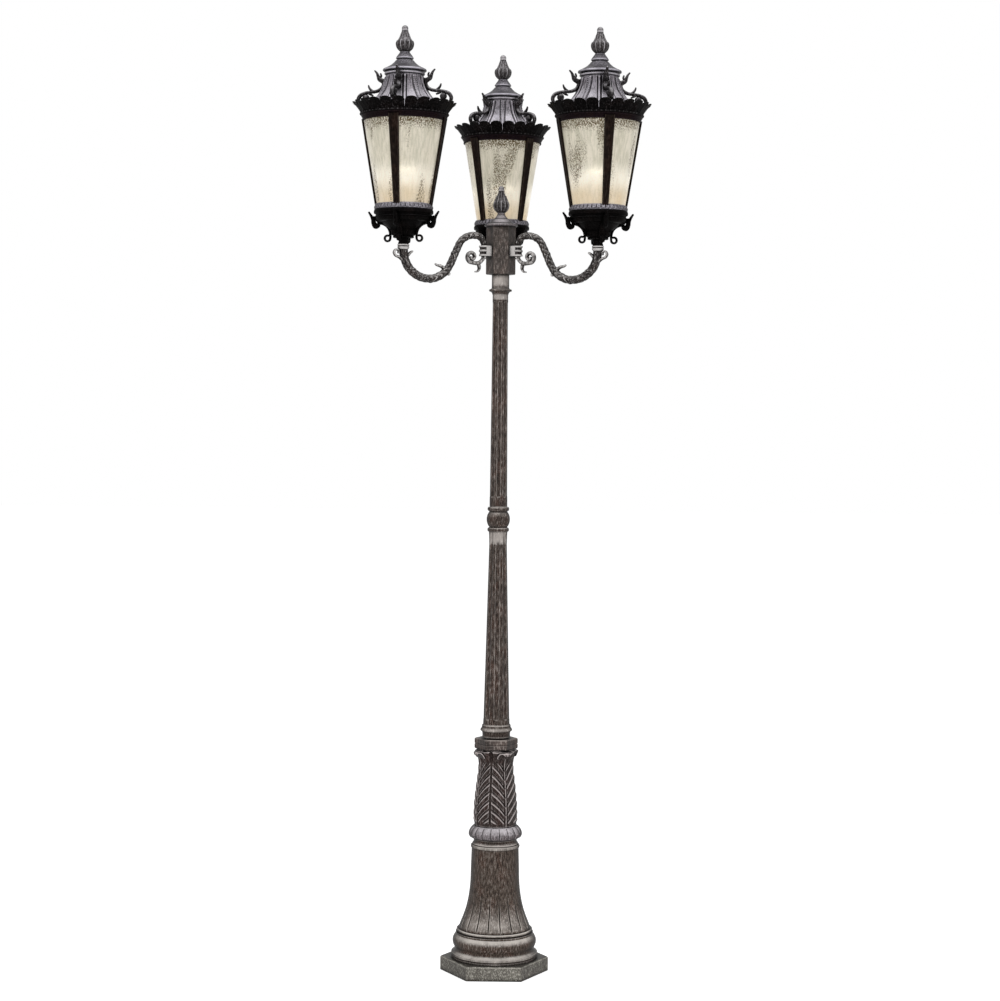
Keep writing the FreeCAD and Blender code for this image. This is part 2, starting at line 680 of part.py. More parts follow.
def flute_cutter(foot_z, foot_r, head_z, head_r):
    """A round-ended cutter lying along a tapering shaft on its +X side."""
    foot_half = foot_r * FLUTE_SHARE
    head_half = head_r * FLUTE_SHARE
    low = V(foot_r - FLUTE_DEPTH + foot_half, 0, foot_z + foot_half)
    high = V(head_r - FLUTE_DEPTH + head_half, 0, head_z - head_half)
    along = high.sub(low)
    cone = Part.makeCone(foot_half, head_half, along.Length, low, along)
    return fused([cone, Part.makeSphere(foot_half, low), Part.makeSphere(head_half, high)])


def lower_shaft():
    """Lower shaft: neck, ring and a fluted taper over the core pipe."""
    z = LOWER_Z
    line = Outline(PIPE_HOLE_R, z)
    line.to(SHAFT_NECK_R, z)
    line.bow(SHAFT_NECK_R, z + SHAFT_NECK_RISE, -1.5)
    line.bow(SHAFT_RING_R - 1.0, z + SHAFT_RING_RISE, 2.5)
    line.bow(SHAFT_NECK_R, z + SHAFT_FLARE_RISE, -1.2)
    line.bow(LOWER_FOOT_R, z + LOWER_FOOT_RISE, -0.8)
    line.to(LOWER_HEAD_R, z + LOWER_HEAD_RISE)
    line.to(LOWER_TOP_R, z + LOWER_HEIGHT)
    line.to(PIPE_HOLE_R, z + LOWER_HEIGHT)
    line.to(PIPE_HOLE_R, z + LOWER_HEIGHT - END_WEB)
    line.to(LOWER_HOLLOW_HEAD_R, z + LOWER_HEIGHT - END_WEB - 3.0)
    line.to(LOWER_HOLLOW_FOOT_R, z + SHAFT_RING_RISE)
    line.to(PIPE_HOLE_R, z + END_WEB)
    shaft = line.turned()
    taper = (LOWER_HEAD_R - LOWER_FOOT_R) / (LOWER_HEAD_RISE - LOWER_FOOT_RISE)
    low = LOWER_FOOT_RISE + FLUTE_END_GAP / 2
    high = LOWER_HEAD_RISE + FLUTE_END_GAP / 2
    low_r = LOWER_FOOT_R + taper * (low - LOWER_FOOT_RISE)
    cutter = flute_cutter(z + low, low_r, z + high, LOWER_HEAD_R)
    return shaft.cut(Part.makeCompound(around(cutter, SHAFT_FLUTES, 90.0)))


def mid_collar():
    """Ball collar between two rings, with a through hole for the pipe."""
    z = COLLAR_Z
    line = Outline(PIPE_HOLE_R, z)
    line.to(COLLAR_RING_R - 2.0, z)
    line.bow(COLLAR_RING_R - 2.0, z + COLLAR_RING_HEIGHT, 2.0)
    line.to(COLLAR_GROOVE_R, z + COLLAR_RING_HEIGHT)
    z += COLLAR_RING_HEIGHT + COLLAR_GROOVE_HEIGHT
    line.to(COLLAR_GROOVE_R, z)
    line.to(BALL_END_R, z)
    line.bow(BALL_END_R, z + BALL_HEIGHT, BALL_BULGE)
    z += BALL_HEIGHT
    line.to(COLLAR_GROOVE_R, z)
    z += COLLAR_GROOVE_HEIGHT
    line.to(COLLAR_GROOVE_R, z)
    line.to(COLLAR_RING_R - 2.0, z)
    line.bow(COLLAR_RING_R - 2.0, z + COLLAR_RING_HEIGHT, 2.0)
    line.to(PIPE_HOLE_R, z + COLLAR_RING_HEIGHT)
    return line.turned()


def upper_shaft():
    """Upper shaft: a slender fluted taper over the core pipe."""
    z = UPPER_Z
    line = Outline(PIPE_HOLE_R, z)
    line.to(UPPER_FOOT_R + 1.0, z)
    line.bow(UPPER_FOOT_R, z + 5.0, -0.4)
    line.to(UPPER_HEAD_R, z + UPPER_HEIGHT)
    line.to(PIPE_HOLE_R, z + UPPER_HEIGHT)
    shaft = line.turned()
    low = z + UPPER_FOOT_MARGIN
    high = z + UPPER_HEIGHT - UPPER_HEAD_MARGIN
    cutter = flute_cutter(low, UPPER_FOOT_R, high, UPPER_HEAD_R)
    return shaft.cut(Part.makeCompound(around(cutter, SHAFT_FLUTES, 90.0)))


def top_neck():
    """Ring flange and plain neck under the hub."""
    z = NECK_Z
    line = Outline(PIPE_HOLE_R, z)
    line.to(UPPER_HEAD_R + 0.8, z)
    line.bow(NECK_FLANGE_R, z + NECK_CONE_RISE, -2.0)
    line.bow(NECK_FLANGE_R, z + NECK_FLANGE_RISE, 1.0)
    line.bow(NECK_R, z + NECK_FLANGE_RISE + 4.0, -1.0)
    line.to(NECK_R, z + NECK_HEIGHT)
    line.to(PIPE_HOLE_R, z + NECK_HEIGHT)
    return line.turned()


def hub():
    """Hexagonal hub box with a floor, a cross bar for the cap and holes for arms and leads."""
    inner_r = HUB_CORNER_R - HUB_WALL / math.cos(math.radians(30.0))
    body = chamfered_hex(HUB_CORNER_R, HUB_Z, HUB_TOP_Z, 1.5, 0.0)
    body = body.cut(hex_prism(inner_r, HUB_Z + END_WEB, HUB_TOP_Z + 1.0))
    bar_z = HUB_TOP_Z - HUB_BAR_DROP - HUB_BAR_HEIGHT
    bar = Part.makeBox(2 * inner_r, HUB_BAR_WIDTH, HUB_BAR_HEIGHT, V(-inner_r, -HUB_BAR_WIDTH / 2, bar_z))
    bar = bar.common(hex_prism(inner_r + 1.0, bar_z - 1.0, bar_z + HUB_BAR_HEIGHT + 1.0))
    body = fused([body, bar])
    cuts = [cylinder(PIPE_HOLE_R, HUB_Z - 1.0, HUB_Z + END_WEB + 1.0)]
    cuts.append(cylinder(STUD_R + THREAD_CLEAR, bar_z - 1.0, bar_z + HUB_BAR_HEIGHT + 1.0))
    wall_start = HUB_FACE_R - HUB_WALL - 1.0
    for azimuth in ARM_AZIMUTHS.values():
        lead = Part.makeCylinder(ARM_BORE_R, HUB_WALL + 2.0, V(wall_start, 0, SEAT_Z), V(1, 0, 0))
        cuts.append(turn(lead, azimuth))
        for side in (-SCREW_SIDE, SCREW_SIDE):
            at = V(wall_start, side, SEAT_Z + SCREW_ABOVE_SEAT)
            hole = Part.makeCylinder(SCREW_R + CLEAR / 2, HUB_WALL + 2.0, at, V(1, 0, 0))
            cuts.append(turn(hole, azimuth))
    return body.cut(Part.makeCompound(cuts))


def hub_cap():
    """Ogee cap with a plug that drops into the hub."""
    z = HUB_TOP_Z
    line = Outline(STUD_HOLE_R, z)
    line.to(CAP_BRIM_R, z)
    line.bow(CAP_BRIM_R - 1.0, z + CAP_BRIM_HEIGHT, 1.5)
    line.bow(CAP_SHOULDER_R, z + CAP_SHOULDER_RISE, -2.5)
    line.bow(CAP_TOP_R, z + CAP_HEIGHT, -3.0)
    line.to(STUD_HOLE_R, z + CAP_HEIGHT)
    inner_r = HUB_CORNER_R - (HUB_WALL + CLEAR) / math.cos(math.radians(30.0))
    plug = hex_prism(inner_r, z - CAP_SPIGOT_DEPTH, z)
    plug = plug.cut(cylinder(STUD_HOLE_R, z - CAP_SPIGOT_DEPTH - 1.0, z + 1.0))
    return fused([line.turned(), plug])


def finial_outline(z, foot_r, body_r, widest, neck_r, neck, ball_r):
    """The outline of a bud finial: a full body, a waist and a ball."""
    line = Outline(0.0, z)
    line.to(foot_r, z)
    line.curve([(body_r, z + widest), (body_r * 0.62, z + widest + (neck - widest) * 0.55), (neck_r, z + neck)])
    reach = math.sqrt(ball_r ** 2 - neck_r ** 2)
    centre = z + neck + reach
    line.edges.append(Part.Arc(line.at, V(ball_r, 0, centre), V(0, 0, centre + ball_r)).toShape())
    line.at = V(0, 0, centre + ball_r)
    return line


def hub_finial():
    """Bud finial whose own stud screws into the hub's cross bar."""
    line = finial_outline(
        HUB_FINIAL_Z, HUB_FINIAL_FOOT_R, HUB_FINIAL_R, HUB_FINIAL_WIDEST, HUB_FINIAL_NECK_R, HUB_FINIAL_NECK, HUB_FINIAL_BALL_R
    )
    stud_foot = HUB_TOP_Z - HUB_BAR_DROP - HUB_BAR_HEIGHT
    return fused([line.turned(), cylinder(STUD_R, stud_foot, HUB_FINIAL_Z + 5.0)])


def core_pipe():
    """The pipe that clamps the stacked castings and carries the leads."""
    return tube(PIPE_R, PIPE_BORE_R, PLATE_BOSS_FOOT, PIPE_TOP_Z)


def lock_nut():
    """Hexagon nut on top of the pipe, inside the hub."""
    z = HUB_Z + END_WEB
    return hex_prism(NUT_CORNER_R, z, z + NUT_HEIGHT).cut(cylinder(PIPE_R + THREAD_CLEAR, z - 1.0, z + NUT_HEIGHT + 1.0))


# ================================================================ arms
def lead_corners(outer_z, inner_r):
    """Corners of the lead's route from the lantern end to a radius inside the hub."""
    low_z = SEAT_Z - ARM_LOW_BELOW_SEAT
    crest_z = SEAT_Z + ARM_CREST_ABOVE_SEAT
    turn_in = math.radians(ARM_SLOPE)
    foot_r = ARM_REACH - ARM_BOWL_BEND * (1.0 + math.tan(turn_in / 2)) - 1.5
    head_r = foot_r - (crest_z - low_z) / math.tan(turn_in)
    return [
        (ARM_REACH, outer_z),
        (ARM_REACH, low_z),
        (foot_r, low_z),
        (head_r, crest_z),
        (ARM_COLLAR_REACH, crest_z),
        (ARM_COLLAR_REACH, SEAT_Z),
        (inner_r, SEAT_Z),
    ]


ARM_BENDS = [ARM_BOWL_BEND, ARM_BOWL_BEND, ARM_CREST_BEND, ARM_COLLAR_BEND, ARM_ENTRY_BEND]


def scroll_points():
    """The scroll's neck from the collar, then a spiral that closes on its centre."""
    points = [(ARM_COLLAR_REACH + x, SEAT_Z + z) for x, z in SCROLL_NECK]
    cx, cz = SCROLL_CENTRE
    for i in range(SCROLL_STEPS + 1):
        share = i / SCROLL_STEPS
        a = math.radians(SCROLL_START_ANGLE + SCROLL_TURN * share)
        r = SCROLL_START_R + (SCROLL_END_R - SCROLL_START_R) * share
        points.append((ARM_COLLAR_REACH + cx + r * math.cos(a), SEAT_Z + cz + r * math.sin(a)))
    return points


def placed(points, axis_r):
    """Offsets from an upright axis and the seat level, as radii and heights."""
    return [(axis_r + x, SEAT_Z + z) for x, z in points]


def arm():
    """S-shaped arm: a tapering tube with collars, a boss on the hub face, a scroll and leaves."""
    route = bent_path(lead_corners(CUP_Z + 2.0, HUB_FACE_R - 1.0), ARM_BENDS)
    corners = lead_corners(CUP_Z, HUB_FACE_R)[:5]
    corners.append((ARM_COLLAR_REACH, SEAT_Z - ARM_COLLAR_BELOW_SEAT))
    centreline = bent_path(corners, ARM_BENDS[:4])
    bar = tapered_bar(centreline, ARM_OUTER_R, ARM_INNER_R)
    low = SEAT_Z - ARM_COLLAR_BELOW_SEAT
    high = SEAT_Z + ARM_COLLAR_ABOVE_SEAT
    solids = [bar, cylinder(ARM_COLLAR_R, low, high, ARM_COLLAR_REACH)]
    for band_z in (low, (low + high - ARM_BAND_HEIGHT) / 2, high - ARM_BAND_HEIGHT):
        solids.append(cylinder(ARM_BAND_R, band_z, band_z + ARM_BAND_HEIGHT, ARM_COLLAR_REACH))
    boss_length = ARM_COLLAR_REACH - HUB_FACE_R
    corner = V(HUB_FACE_R, -ARM_BOSS_WIDTH / 2, low)
    solids.append(Part.makeBox(boss_length, ARM_BOSS_WIDTH, high - low, corner))
    end = Outline(0.0, CUP_Z - ARM_END_COLLAR)
    end.to(ARM_OUTER_R, CUP_Z - ARM_END_COLLAR)
    end.bow(ARM_END_R, CUP_Z - ARM_END_COLLAR / 2, 0.6)
    end.bow(ARM_END_R, CUP_Z, 0.8)
    end.to(0.0, CUP_Z)
    end_solid = end.turned()
    end_solid.translate(V(ARM_REACH, 0, 0))
    solids.append(end_solid)
    points = scroll_points()
    thicks = [SCROLL_THICK] * len(points)
    solids.append(ribbon(points, thicks, SCROLL_WIDTH))
    solids.append(ribbon(placed(TAIL_LEAF, ARM_COLLAR_REACH), TAIL_LEAF_THICK, LEAF_WIDTH))
    solids.append(ribbon(placed(SPUR_LEAF, ARM_REACH), SPUR_LEAF_THICK, LEAF_WIDTH))
    solids.append(ribbon(placed(END_CURL, ARM_REACH), END_CURL_THICK, LEAF_WIDTH))
    solids.append(ribbon(placed(INNER_LEAF, ARM_REACH), INNER_LEAF_THICK, LEAF_WIDTH))
    hollow = piped(route, ARM_BORE_R)
    thread = cylinder(NIPPLE_R + THREAD_CLEAR, CUP_Z - NIPPLE_IN_ARM, CUP_Z + 1.0, ARM_REACH)
    hollow = hollow.fuse(thread)
    for side in (-SCREW_SIDE, SCREW_SIDE):
        at = V(HUB_FACE_R - 1.0, side, SEAT_Z + SCREW_ABOVE_SEAT)
        hollow = hollow.fuse(Part.makeCylinder(SCREW_R + THREAD_CLEAR, SCREW_REACH + 2.0, at, V(1, 0, 0)))
    return only_solid(solids[0].multiFuse(solids[1:]).cut(hollow))


def arm_screws():
    """Two cap screws through the hub wall into each arm's boss."""
    screws = []
    wall_in = HUB_FACE_R - HUB_WALL
    for azimuth in ARM_AZIMUTHS.values():
        for side in (-SCREW_SIDE, SCREW_SIDE):
            at = V(wall_in, side, SEAT_Z + SCREW_ABOVE_SEAT)
            shank = Part.makeCylinder(SCREW_R, HUB_WALL + SCREW_REACH, at, V(1, 0, 0))
            head = Part.makeCylinder(SCREW_HEAD_R, SCREW_HEAD, at.sub(V(SCREW_HEAD, 0, 0)), V(1, 0, 0))
            screws.append(turn(fused([shank, head]), azimuth))
    return Part.makeCompound(screws)


def lead():
    """One lantern's lead, from its socket through nipple, arm and hub and down the pipe."""
    corners = lead_corners(FRAME_Z + FRAME_FLOOR + NIPPLE_IN_SOCKET + 2.0, LEAD_CIRCLE_R)
    corners.append((LEAD_CIRCLE_R, LEAD_FOOT_GAP + CONNECTOR_TOP))
    route = bent_path(corners, ARM_BENDS + [LEAD_HUB_BEND])
    body = piped(route, LEAD_R)
    expected = math.pi * LEAD_R ** 2 * route.Length
    print("lead length", round(route.Length, 1), "volume ratio", round(body.Volume / expected, 4))
    return body


def lead_connectors():
    """Closed-end connectors on the three leads, in the foot of the pipe."""
    z = LEAD_FOOT_GAP
    shell = cylinder(CONNECTOR_R, z, z + CONNECTOR_LENGTH, LEAD_CIRCLE_R)
    bore = cylinder(CONNECTOR_BORE_R, z + CONNECTOR_TOP - 0.3, z + CONNECTOR_LENGTH + 1.0, LEAD_CIRCLE_R)
    cap = shell.cut(bore)
    return Part.makeCompound([turn(cap, a) for a in ARM_AZIMUTHS.values()])


# ================================================================ lantern, about its own axis
def cup():
    """Flaring cup under the lantern: neck, skirt, concave side and ledge, hollow inside."""
    z = CUP_Z
    hole_r = NIPPLE_R + CLEAR
    side_r = CUP_ARC_CENTRE_R - CUP_ARC_R
    line = Outline(hole_r, z)
    line.to(CUP_NECK_R - 1.0, z)
    line.bow(CUP_NECK_R, z + CUP_NECK_HEIGHT, 1.0)
    line.to(CUP_SKIRT_R, z + CUP_NECK_HEIGHT)
    line.to(CUP_SKIRT_R + 1.0, z + CUP_NECK_HEIGHT + CUP_SKIRT_LIP)
    line.to(side_r, z + CUP_ARC_RISE)
    slant = CUP_ARC_R * math.sqrt(0.5)
    middle = V(CUP_ARC_CENTRE_R - slant, 0, z + CUP_ARC_RISE + slant)
    end = V(CUP_ARC_CENTRE_R, 0, z + CUP_ARC_RISE + CUP_ARC_R)
    line.edges.append(Part.Arc(line.at, middle, end).toShape())
    line.at = end
    line.bow(CUP_SHOULDER_R, z + CUP_SHOULDER_RISE, 1.5)
    line.to(CUP_SHOULDER_R, z + CUP_LEDGE_RISE - 3.0)
    line.bow(CUP_LEDGE_R, z + CUP_LEDGE_RISE, -1.0)
    line.bow(CUP_LEDGE_R, z + CUP_HEIGHT, 1.0)
    line.to(CUP_LEDGE_R - 2 * CUP_WALL, z + CUP_HEIGHT)
    line.to(CUP_SHOULDER_R - CUP_WALL, z + CUP_SHOULDER_RISE)
    inner = CUP_ARC_R + CUP_WALL
    line.to(CUP_ARC_CENTRE_R, z + CUP_ARC_RISE + inner)
    slant = inner * math.sqrt(0.5)
    middle = V(CUP_ARC_CENTRE_R - slant, 0, z + CUP_ARC_RISE + slant)
    reach = math.sqrt(inner ** 2 - (CUP_FLOOR_RISE - CUP_ARC_RISE) ** 2)
    end = V(CUP_ARC_CENTRE_R - reach, 0, z + CUP_FLOOR_RISE)
    line.edges.append(Part.Arc(line.at, middle, end).toShape())
    line.at = end
    line.to(hole_r, z + CUP_FLOOR_RISE)
    return line.turned()


def cup_brackets():
    """Four strap brackets that hug the cup, curled at the foot, with an upturned horn."""
    radius = CUP_ARC_R - CLEAR - BRACKET_THICK / 2
    centre_z = CUP_Z + CUP_ARC_RISE
    points = []
    for i in range(6):
        a = math.radians(180.0 - 15.0 * i)
        points.append((CUP_ARC_CENTRE_R + radius * math.cos(a), centre_z + radius * math.sin(a)))
    foot_x = CUP_ARC_CENTRE_R - radius
    curl = []
    for i in range(7):
        a = math.radians(180.0 + 45.0 * i)
        curl.append((foot_x + BRACKET_CURL_R + BRACKET_CURL_R * math.cos(a), centre_z - 8.0 + BRACKET_CURL_R * math.sin(a)))
    path = curl[::-1] + points + [(HORN[0][0], CUP_Z + HORN[0][1] + 1.0)]
    strap = ribbon(path, [BRACKET_THICK] * len(path), BRACKET_WIDTH)
    horn = ribbon([(r, CUP_Z + rise) for r, rise in HORN], HORN_THICK, BRACKET_WIDTH)
    clear_of_cup = Outline(0.0, CUP_Z + CUP_ARC_RISE)
    clear_of_cup.to(CUP_ARC_CENTRE_R - CUP_ARC_R + CLEAR, CUP_Z + CUP_ARC_RISE)
    slant = (CUP_ARC_R - CLEAR) * math.sqrt(0.5)
    middle = V(CUP_ARC_CENTRE_R - slant, 0, centre_z + slant)
    end = V(CUP_ARC_CENTRE_R, 0, centre_z + CUP_ARC_R - CLEAR)
    clear_of_cup.edges.append(Part.Arc(clear_of_cup.at, middle, end).toShape())
    clear_of_cup.at = end
    clear_of_cup.bow(CUP_SHOULDER_R + CLEAR, CUP_Z + CUP_SHOULDER_RISE, 1.5)
    clear_of_cup.to(CUP_SHOULDER_R + CLEAR, CUP_Z + CUP_LEDGE_RISE - 3.0)
    clear_of_cup.bow(CUP_LEDGE_R + CLEAR, CUP_Z + CUP_LEDGE_RISE, -1.0)
    clear_of_cup.to(CUP_LEDGE_R + 1.0 + CLEAR, CUP_Z + CUP_HEIGHT)
    clear_of_cup.to(0.0, CUP_Z + CUP_HEIGHT)
    bracket = only_solid(fused([strap, horn]).cut(clear_of_cup.turned()))
    return Part.makeCompound(around(bracket, BRACKET_COUNT, BRACKET_AZIMUTH))


def glass_slope():
    """How far the glass widens for each millimetre of height."""
    return (GLASS_TOP_R - GLASS_FOOT_R) / GLASS_HEIGHT


def glass():
    """Conical glass, open at both ends, standing in the light ring."""
    line = Outline(GLASS_FOOT_R, GLASS_Z)
    line.to(GLASS_TOP_R, GLASS_Z + GLASS_HEIGHT)
    line.to(GLASS_TOP_R - GLASS_WALL, GLASS_Z + GLASS_HEIGHT)
    line.to(GLASS_FOOT_R - GLASS_WALL, GLASS_Z)
    return line.turned()


def rib():
    """One flat tapering rib along +X, outside the glass."""
    low = FRAME_Z + FRAME_FLOOR
    high = FRAME_TOP_Z - TOP_RING_HEIGHT / 2
    wires = []
    for z, width in ((low, RIB_FOOT_WIDTH), (high, RIB_HEAD_WIDTH)):
        inner = GLASS_FOOT_R + (z - GLASS_Z) * glass_slope() + GLASS_GAP
        outer = inner + RIB_THICK
        half = width / 2
        corners = [V(inner, -half, z), V(outer, -half, z), V(outer, half, z), V(inner, half, z), V(inner, -half, z)]
        wires.append(Part.makePolygon(corners))
    return Part.makeLoft(wires, True, True)


def frame():
    """Lantern frame: floor, light ring, four ribs and the top ring, notched for the bridge bar."""
    z = FRAME_Z
    rim_r = GLASS_FOOT_R + LIGHT_RING_HEIGHT * glass_slope() + GLASS_GAP
    line = Outline(NIPPLE_R + CLEAR, z)
    line.to(rim_r + LIGHT_RING_WALL - 2.0, z)
    line.bow(rim_r + LIGHT_RING_WALL - 2.0, z + LIGHT_RING_HEIGHT, 2.0)
    line.to(rim_r, z + LIGHT_RING_HEIGHT)
    line.to(rim_r, z + FRAME_FLOOR)
    line.to(NIPPLE_R + CLEAR, z + FRAME_FLOOR)
    ring_z = FRAME_TOP_Z - TOP_RING_HEIGHT
    top_in = GLASS_TOP_R + GLASS_GAP
    top = Outline(top_in, ring_z)
    top.to(TOP_RING_FOOT_R, ring_z)
    top.bow(TOP_RING_HEAD_R, FRAME_TOP_Z, 0.8)
    top.to(top_in, FRAME_TOP_Z)
    body = fused([line.turned(), top.turned()] + around(rib(), BRACKET_COUNT, BRACKET_AZIMUTH))
    notch_z = FRAME_TOP_Z - BRIDGE_THICK - CLEAR
    width = BRIDGE_WIDTH + 2 * CLEAR
    reach = TOP_RING_FOOT_R + 1.0
    notch = Part.makeBox(2 * reach, width, BRIDGE_THICK + 1.0, V(-reach, -width / 2, notch_z))
    return body.cut(notch)


def bridge():
    """Bridge bar across the top ring, with the stud that the finial screws onto."""
    z = FRAME_TOP_Z - BRIDGE_THICK - CLEAR
    reach = TOP_RING_FOOT_R + 1.0 - CLEAR
    bar = Part.makeBox(2 * reach, BRIDGE_WIDTH, BRIDGE_THICK, V(-reach, -BRIDGE_WIDTH / 2, z))
    boss = cylinder(BRIDGE_BOSS_R, z, z + BRIDGE_THICK + BRIDGE_BOSS_HEIGHT)
    stud = cylinder(STUD_R, z, FINIAL_Z + FINIAL_BORE_DEPTH - 2.0)
    return fused([bar, boss, stud])


def petal_notch():
    """The gap between two round petal tops, as a radial slab about +X."""
    half = (CROWN_STATIONS[-1][1] + PETAL_BULGE) * math.tan(math.pi / PETALS)
    top = FRAME_TOP_Z + CROWN_HEIGHT
    radius = (half ** 2 + PETAL_SCALLOP ** 2) / (2 * PETAL_SCALLOP)
    drop = radius - math.sqrt(radius ** 2 - (half / 2) ** 2)
    apex = V(0, 0, top - PETAL_SCALLOP)
    edges = [
        Part.Arc(V(0, -half, top), V(0, -half / 2, top - drop), apex).toShape(),
        Part.Arc(apex, V(0, half / 2, top - drop), V(0, half, top)).toShape(),
        Part.makeLine(V(0, half, top), V(0, half, top + 2.0)),
        Part.makeLine(V(0, half, top + 2.0), V(0, -half, top + 2.0)),
        Part.makeLine(V(0, -half, top + 2.0), V(0, -half, top)),
    ]
    slab = Part.Face(Part.Wire(edges)).extrude(V(60.0, 0, 0))
    slab.translate(V(CROWN_STATIONS[0][1] - 20.0, 0, 0))
    return slab


def crown():
    """Crown of round-topped petals on a beaded flange."""
    z = FRAME_TOP_Z
    wires = [lobed_wire(r, PETAL_BULGE, z + rise, PETALS) for rise, r in CROWN_STATIONS]
    outer = Part.makeLoft(wires, True, False)
    hollow = Outline(0.0, z - 1.0)
    hollow.to(CROWN_STATIONS[0][1] - CROWN_WALL, z - 1.0)
    for rise, r in CROWN_STATIONS:
        hollow.to(r - CROWN_WALL, z + rise)
    hollow.to(CROWN_STATIONS[-1][1] - CROWN_WALL, z + CROWN_HEIGHT + 1.0)
    hollow.to(0.0, z + CROWN_HEIGHT + 1.0)
    shell = outer.cut(hollow.turned())
    notches = around(petal_notch(), PETALS)
    shell = shell.cut(Part.makeCompound(notches))
    flange = Outline(CROWN_FLANGE_R, z)
    flange.to(CROWN_BEAD_R - 1.0, z)
    flange.bow(CROWN_BEAD_R - 1.0, z + CROWN_BEAD_HEIGHT, 1.5)
    flange.to(CROWN_STATIONS[0][1] - CROWN_WALL / 2, z + CROWN_BEAD_HEIGHT)
    flange.to(CROWN_STATIONS[0][1] - CROWN_WALL / 2, z + CROWN_FLANGE)
    flange.to(CROWN_FLANGE_R, z + CROWN_FLANGE)
    return only_solid(fused([shell, flange.turned()]))


def roof_outline(proud, z0, wall):
    """The roof's side as a band from the foot to the shoulder, standing proud by a margin."""
    line = Outline(ROOF_FOOT_R - wall, z0)
    line.to(ROOF_FOOT_R + proud, z0)
    side = [(r + proud, z0 + rise + proud * 0.6) for rise, r in ROOF_SIDE]
    line.curve(side + [(ROOF_SHOULDER_R + proud, z0 + ROOF_SHOULDER_RISE)])
    return line


def roof():
    """Concave roof shell with raised ribs and a neck under the vent cap."""
    z = ROOF_Z
    line = roof_outline(0.0, z, ROOF_WALL)
    line.to(ROOF_SHOULDER_R, z + ROOF_HEIGHT)
    line.to(STUD_HOLE_R, z + ROOF_HEIGHT)
    line.to(STUD_HOLE_R, z + ROOF_HEIGHT - ROOF_WALL - 1.0)
    line.to(ROOF_SHOULDER_R - ROOF_WALL, z + ROOF_HEIGHT - ROOF_WALL - 1.0)
    inside = [(r - ROOF_WALL * 1.1, z + rise - ROOF_WALL * 0.5) for rise, r in ROOF_SIDE[:0:-1]]
    line.curve([(ROOF_SHOULDER_R - ROOF_WALL, z + ROOF_SHOULDER_RISE - 4.0)] + inside)
    line.to(ROOF_FOOT_R - ROOF_WALL, z)
    shell = line.turned()
    ridge = roof_outline(ROOF_RIB_PROUD, z + 5.0, ROOF_WALL + 6.0)
    ridge.to(ROOF_SHOULDER_R - 1.0, z + 5.0 + ROOF_SHOULDER_RISE)
    inside = [(r - 1.0, z + rise) for rise, r in ROOF_SIDE[:0:-1]]
    ridge.curve(inside)
    ridge.to(ROOF_FOOT_R - ROOF_WALL - 6.0, z + 5.0)
    ridge = ridge.turned(ROOF_RIB_ANGLE)
    ridges = around(ridge, ROOF_RIBS, -ROOF_RIB_ANGLE / 2)
    return only_solid(fused([shell] + ridges))


def vent_cap():
    """Brimmed vent cap with a small bell on top, clamped by the finial."""
    z = VENT_Z
    line = Outline(STUD_HOLE_R, z)
    line.to(VENT_BRIM_R - 1.5, z)
    line.bow(VENT_BRIM_R - 1.5, z + VENT_BRIM, 1.5)
    dome = [(r, z + rise) for rise, r in VENT_DOME]
    line.curve(dome + [(VENT_DOME_TOP_R, z + VENT_DOME_RISE)])
    line.to(VENT_GROOVE_R, z + VENT_DOME_RISE)
    line.to(VENT_GROOVE_R, z + VENT_DOME_RISE + VENT_GROOVE)
    line.to(VENT_DOME_TOP_R, z + VENT_BELL_RISE)
    line.bow(VENT_TOP_R, z + VENT_HEIGHT, -2.0)
    line.to(STUD_HOLE_R, z + VENT_HEIGHT)
    return line.turned()


def finial():
    """Bud finial nut on the bridge stud."""
    line = finial_outline(FINIAL_Z, VENT_TOP_R - 1.0, FINIAL_R, FINIAL_WIDEST, FINIAL_NECK_R, FINIAL_NECK, FINIAL_BALL_R)
    bore = cylinder(STUD_R + THREAD_CLEAR, FINIAL_Z - 1.0, FINIAL_Z + FINIAL_BORE_DEPTH)
    return line.turned().cut(bore)


def roof_scrolls():
    """Four S-scrolls standing on the roof, each with a horn, a sweep, a spur and a curl ball."""
    z = ROOF_Z
    horn = ribbon([(r, z + rise) for r, rise in ROOF_HORN], ROOF_HORN_THICK, SCROLL_STRIP)
    sweep = ribbon([(r, z + rise) for r, rise in ROOF_SWEEP], ROOF_SWEEP_THICK, SCROLL_STRIP)
    spur = ribbon([(r, z + rise) for r, rise in ROOF_SPUR], ROOF_SPUR_THICK, SCROLL_STRIP / 2)
    ball_r, ball_rise = CURL_BALL_AT
    ball = Part.makeSphere(CURL_BALL_R, V(ball_r, 0, z + ball_rise))
    clear_of_roof = roof_outline(CLEAR, z, ROOF_FOOT_R)
    clear_of_roof.to(0.0, z + ROOF_SHOULDER_RISE)
    scroll = fused([horn, sweep, spur, ball]).cut(clear_of_roof.turned())
    return Part.makeCompound(around(only_solid(scroll), BRACKET_COUNT, BRACKET_AZIMUTH))


def nipple():
    """Threaded nipple that ties arm, cup, frame and socket together."""
    return tube(NIPPLE_R, NIPPLE_BORE_R, CUP_Z - NIPPLE_IN_ARM, FRAME_Z + FRAME_FLOOR + NIPPLE_IN_SOCKET)


def socket():
    """Lampholder in its sleeve: a tapped foot and an open seat for the bulb's base."""
    z = FRAME_Z + FRAME_FLOOR
    body = cylinder(SLEEVE_R, z, z + SLEEVE_HEIGHT)
    body = body.cut(cylinder(NIPPLE_R + THREAD_CLEAR, z - 1.0, z + SOCKET_FLOOR - 4.0))
    return body.cut(cylinder(BULB_BASE_R + BULB_BASE_CLEAR, z + SOCKET_FLOOR, z + SLEEVE_HEIGHT + 1.0))


